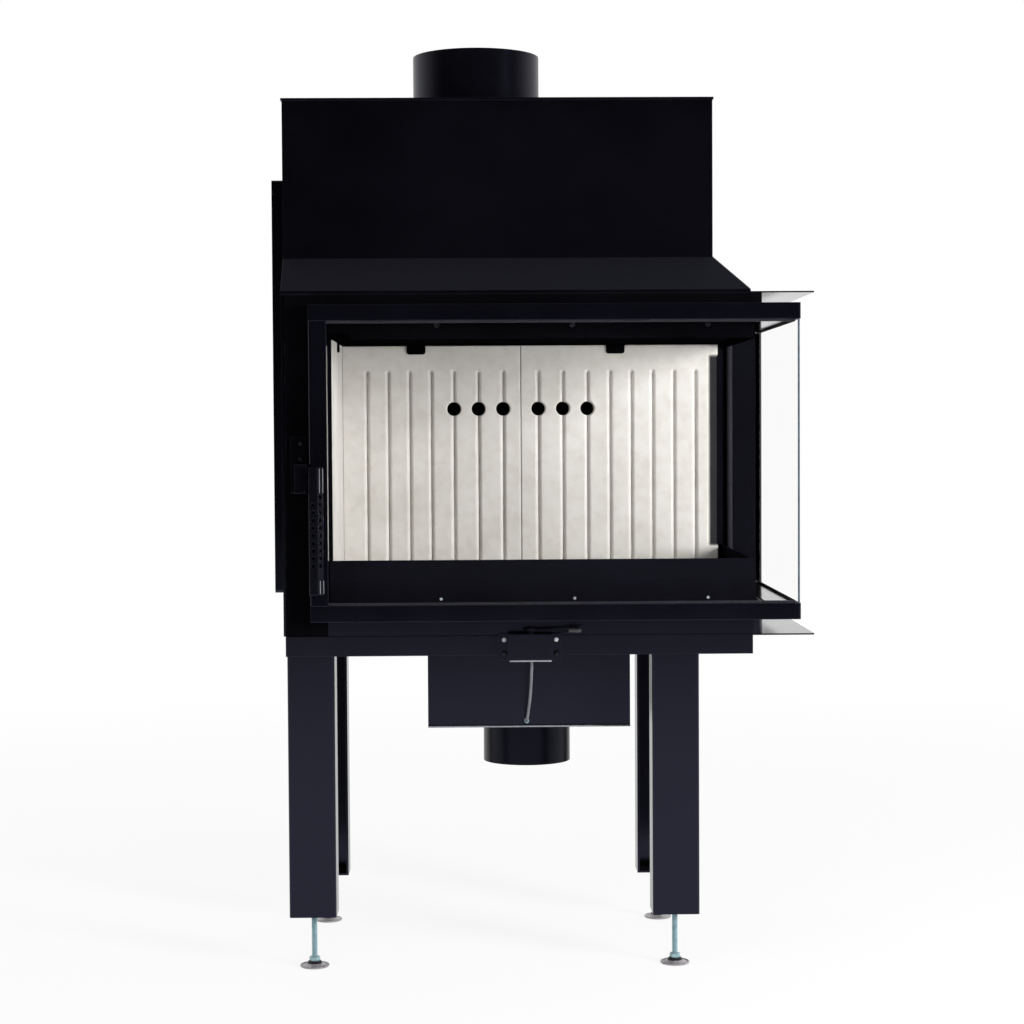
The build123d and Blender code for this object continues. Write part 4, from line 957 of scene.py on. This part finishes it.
rod = threaded_rod(4.0, 8.0, 140.0)
lock_nut = turned(
    [(4.3, 8.0), (6.2, 8.0), (7.3, 8.7, 1), (7.3, 13.3, 1), (6.2, 14.0), (4.3, 14.0)], 48
)
pad = turned(
    [(17.0, 0), (19.2, 0.3), (19.9, 1.2), (19.9, 2.2), (19.3, 2.9), (18.2, 3.0), (17.2, 2.5)]
    + [(15.5, 2.4), (13.0, 3.4), (11.0, 4.6), (10.2, 5.2), (9.0, 5.3)],
    60,
)
socket = turned([(10.4, 4.4), (10.4, 5.3), (9.4, 6.6), (8.9, 7.6), (8.3, 8.0), (4.2, 8.0)], 48)
for corner_name, (foot_x, foot_y) in leg_places.items():
    body = "levelling_" + corner_name
    at = (foot_x, foot_y, 0.0)
    steel = join([lay(rod, at), lay(lock_nut, at)])
    make("foot_rod_" + corner_name, steel, bright_zinc, body, ("foot_" + corner_name,))
    make("foot_pad_" + corner_name, lay(pad, at), pad_steel, body)
    make("foot_socket_" + corner_name, lay(socket, at), socket_finish, body)


# Studio. A plain pale floor and white surroundings, dark where the photographer stands
# and towards the ceiling; a soft lamp to the right of the front, a weak one to the left,
# one above, and a narrow strip at the right, the only one that gloss mirrors. The camera
# is low and well back, with a long lens.

floor_half = 4.5
floor_corners = np.array([(-1, -1, 0), (1, -1, 0), (1, 1, 0), (-1, 1, 0)]) * floor_half
floor_mesh = bpy.data.meshes.new("studio_floor")
floor_mesh.from_pydata(floor_corners.tolist(), [], [(0, 1, 2, 3)])
studio_floor = bpy.data.objects.new("studio_floor", floor_mesh)
bpy.context.scene.collection.objects.link(studio_floor)
floor_finish, tree, shader, place = finish("floor_matt_white", 0.9, specular=0.1)
shader.inputs["Base Color"].default_value = linear("#f4f4f4")

# To the camera, in gloss and through glass the floor glows white, less so near the insert,
# so that its shadow still shows.
larger, times = {"operation": "MAXIMUM"}, {"operation": "MULTIPLY"}
rays = add(tree, "LightPath").outputs
seen = add(tree, "Math", larger, _0=rays["Is Camera Ray"], _1=rays["Is Glossy Ray"])
seen = add(tree, "Math", larger, _0=seen.outputs[0], _1=rays["Is Transmission Ray"])
away = add(tree, "VectorMath", {"operation": "LENGTH"}, _0=place).outputs["Value"]
share = add(
    tree, "MapRange", Value=away, From_Min=0.5, From_Max=3.0, To_Min=0.86, To_Max=1.0
)
share = add(tree, "Math", times, _0=share.outputs["Result"], _1=seen.outputs[0])
glow = add(tree, "Emission", Strength=1.0)
blend = add(tree, "MixShader", _0=share.outputs[0], _1=shader.outputs[0], _2=glow.outputs[0])
tree.links.new(blend.outputs[0], tree.nodes["Material Output"].inputs["Surface"])
studio_floor.data.materials.append(floor_finish)

world = bpy.data.worlds.new("studio_white")
bpy.context.scene.world = world
world.use_nodes = True
tree = world.node_tree
tree.nodes.clear()
rays = add(tree, "LightPath").outputs
seen = add(tree, "Math", larger, _0=rays["Is Camera Ray"], _1=rays["Is Transmission Ray"])
way = add(tree, "SeparateXYZ", Vector=add(tree, "TexCoord").outputs["Generated"])
fade = {"interpolation_type": "SMOOTHSTEP"}
room = add(
    tree,
    "MapRange",
    fade,
    Value=way.outputs["Y"],
    From_Min=-0.4,
    From_Max=0.4,
    To_Min=0.01,
    To_Max=1.0,
)
ceiling = add(
    tree,
    "MapRange",
    fade,
    Value=way.outputs["Z"],
    From_Min=0.75,
    From_Max=0.97,
    To_Min=1.0,
    To_Max=0.15,
)
level = add(tree, "Math", times, _0=room.outputs["Result"], _1=ceiling.outputs["Result"])
dim = add(tree, "Background", Color=linear("#ffffff"), Strength=level.outputs[0])
bright = add(tree, "Background", Color=linear("#ffffff"), Strength=1.0)
blend = add(tree, "MixShader", _0=seen.outputs[0], _1=dim.outputs[0], _2=bright.outputs[0])
add(tree, "OutputWorld", Surface=blend.outputs[0])


def lamp(name, place, width, height, power, mirrored):
    """A soft box at a place, facing the insert; unless mirrored, gloss doesn't show it."""
    light = bpy.data.lights.new(name, "AREA")
    light.shape = "RECTANGLE"
    light.size = width
    light.size_y = height
    light.energy = power
    piece = bpy.data.objects.new(name, light)
    bpy.context.scene.collection.objects.link(piece)
    piece.location = place
    piece.visible_glossy = mirrored
    direction = Vector((0.0, 0.0, 0.7)) - Vector(place)
    piece.rotation_euler = direction.to_track_quat("-Z", "Y").to_euler()


lamp("key_right", (2.3, -2.0, 1.1), 0.8, 1.2, 125, False)
lamp("fill_left", (-2.1, -2.2, 0.9), 0.8, 1.2, 20, False)
lamp("top", (0.0, -1.2, 3.2), 1.6, 1.6, 25, False)
lamp("strip_right", (2.5, -1.8, 1.2), 0.35, 2.0, 2.5, True)

camera = bpy.data.cameras.new("photo_camera")
camera.lens = 76.1036
camera.sensor_width = 36.0
camera_piece = bpy.data.objects.new("photo_camera", camera)
bpy.context.scene.collection.objects.link(camera_piece)
camera_piece.location = (-0.089361, -3.107273, 0.728097)
camera_piece.rotation_euler = [radians(a) for a in (87.84690, 0.32956, -0.95927)]
bpy.context.scene.camera = camera_piece
bpy.context.scene.view_settings.view_transform = "Standard"
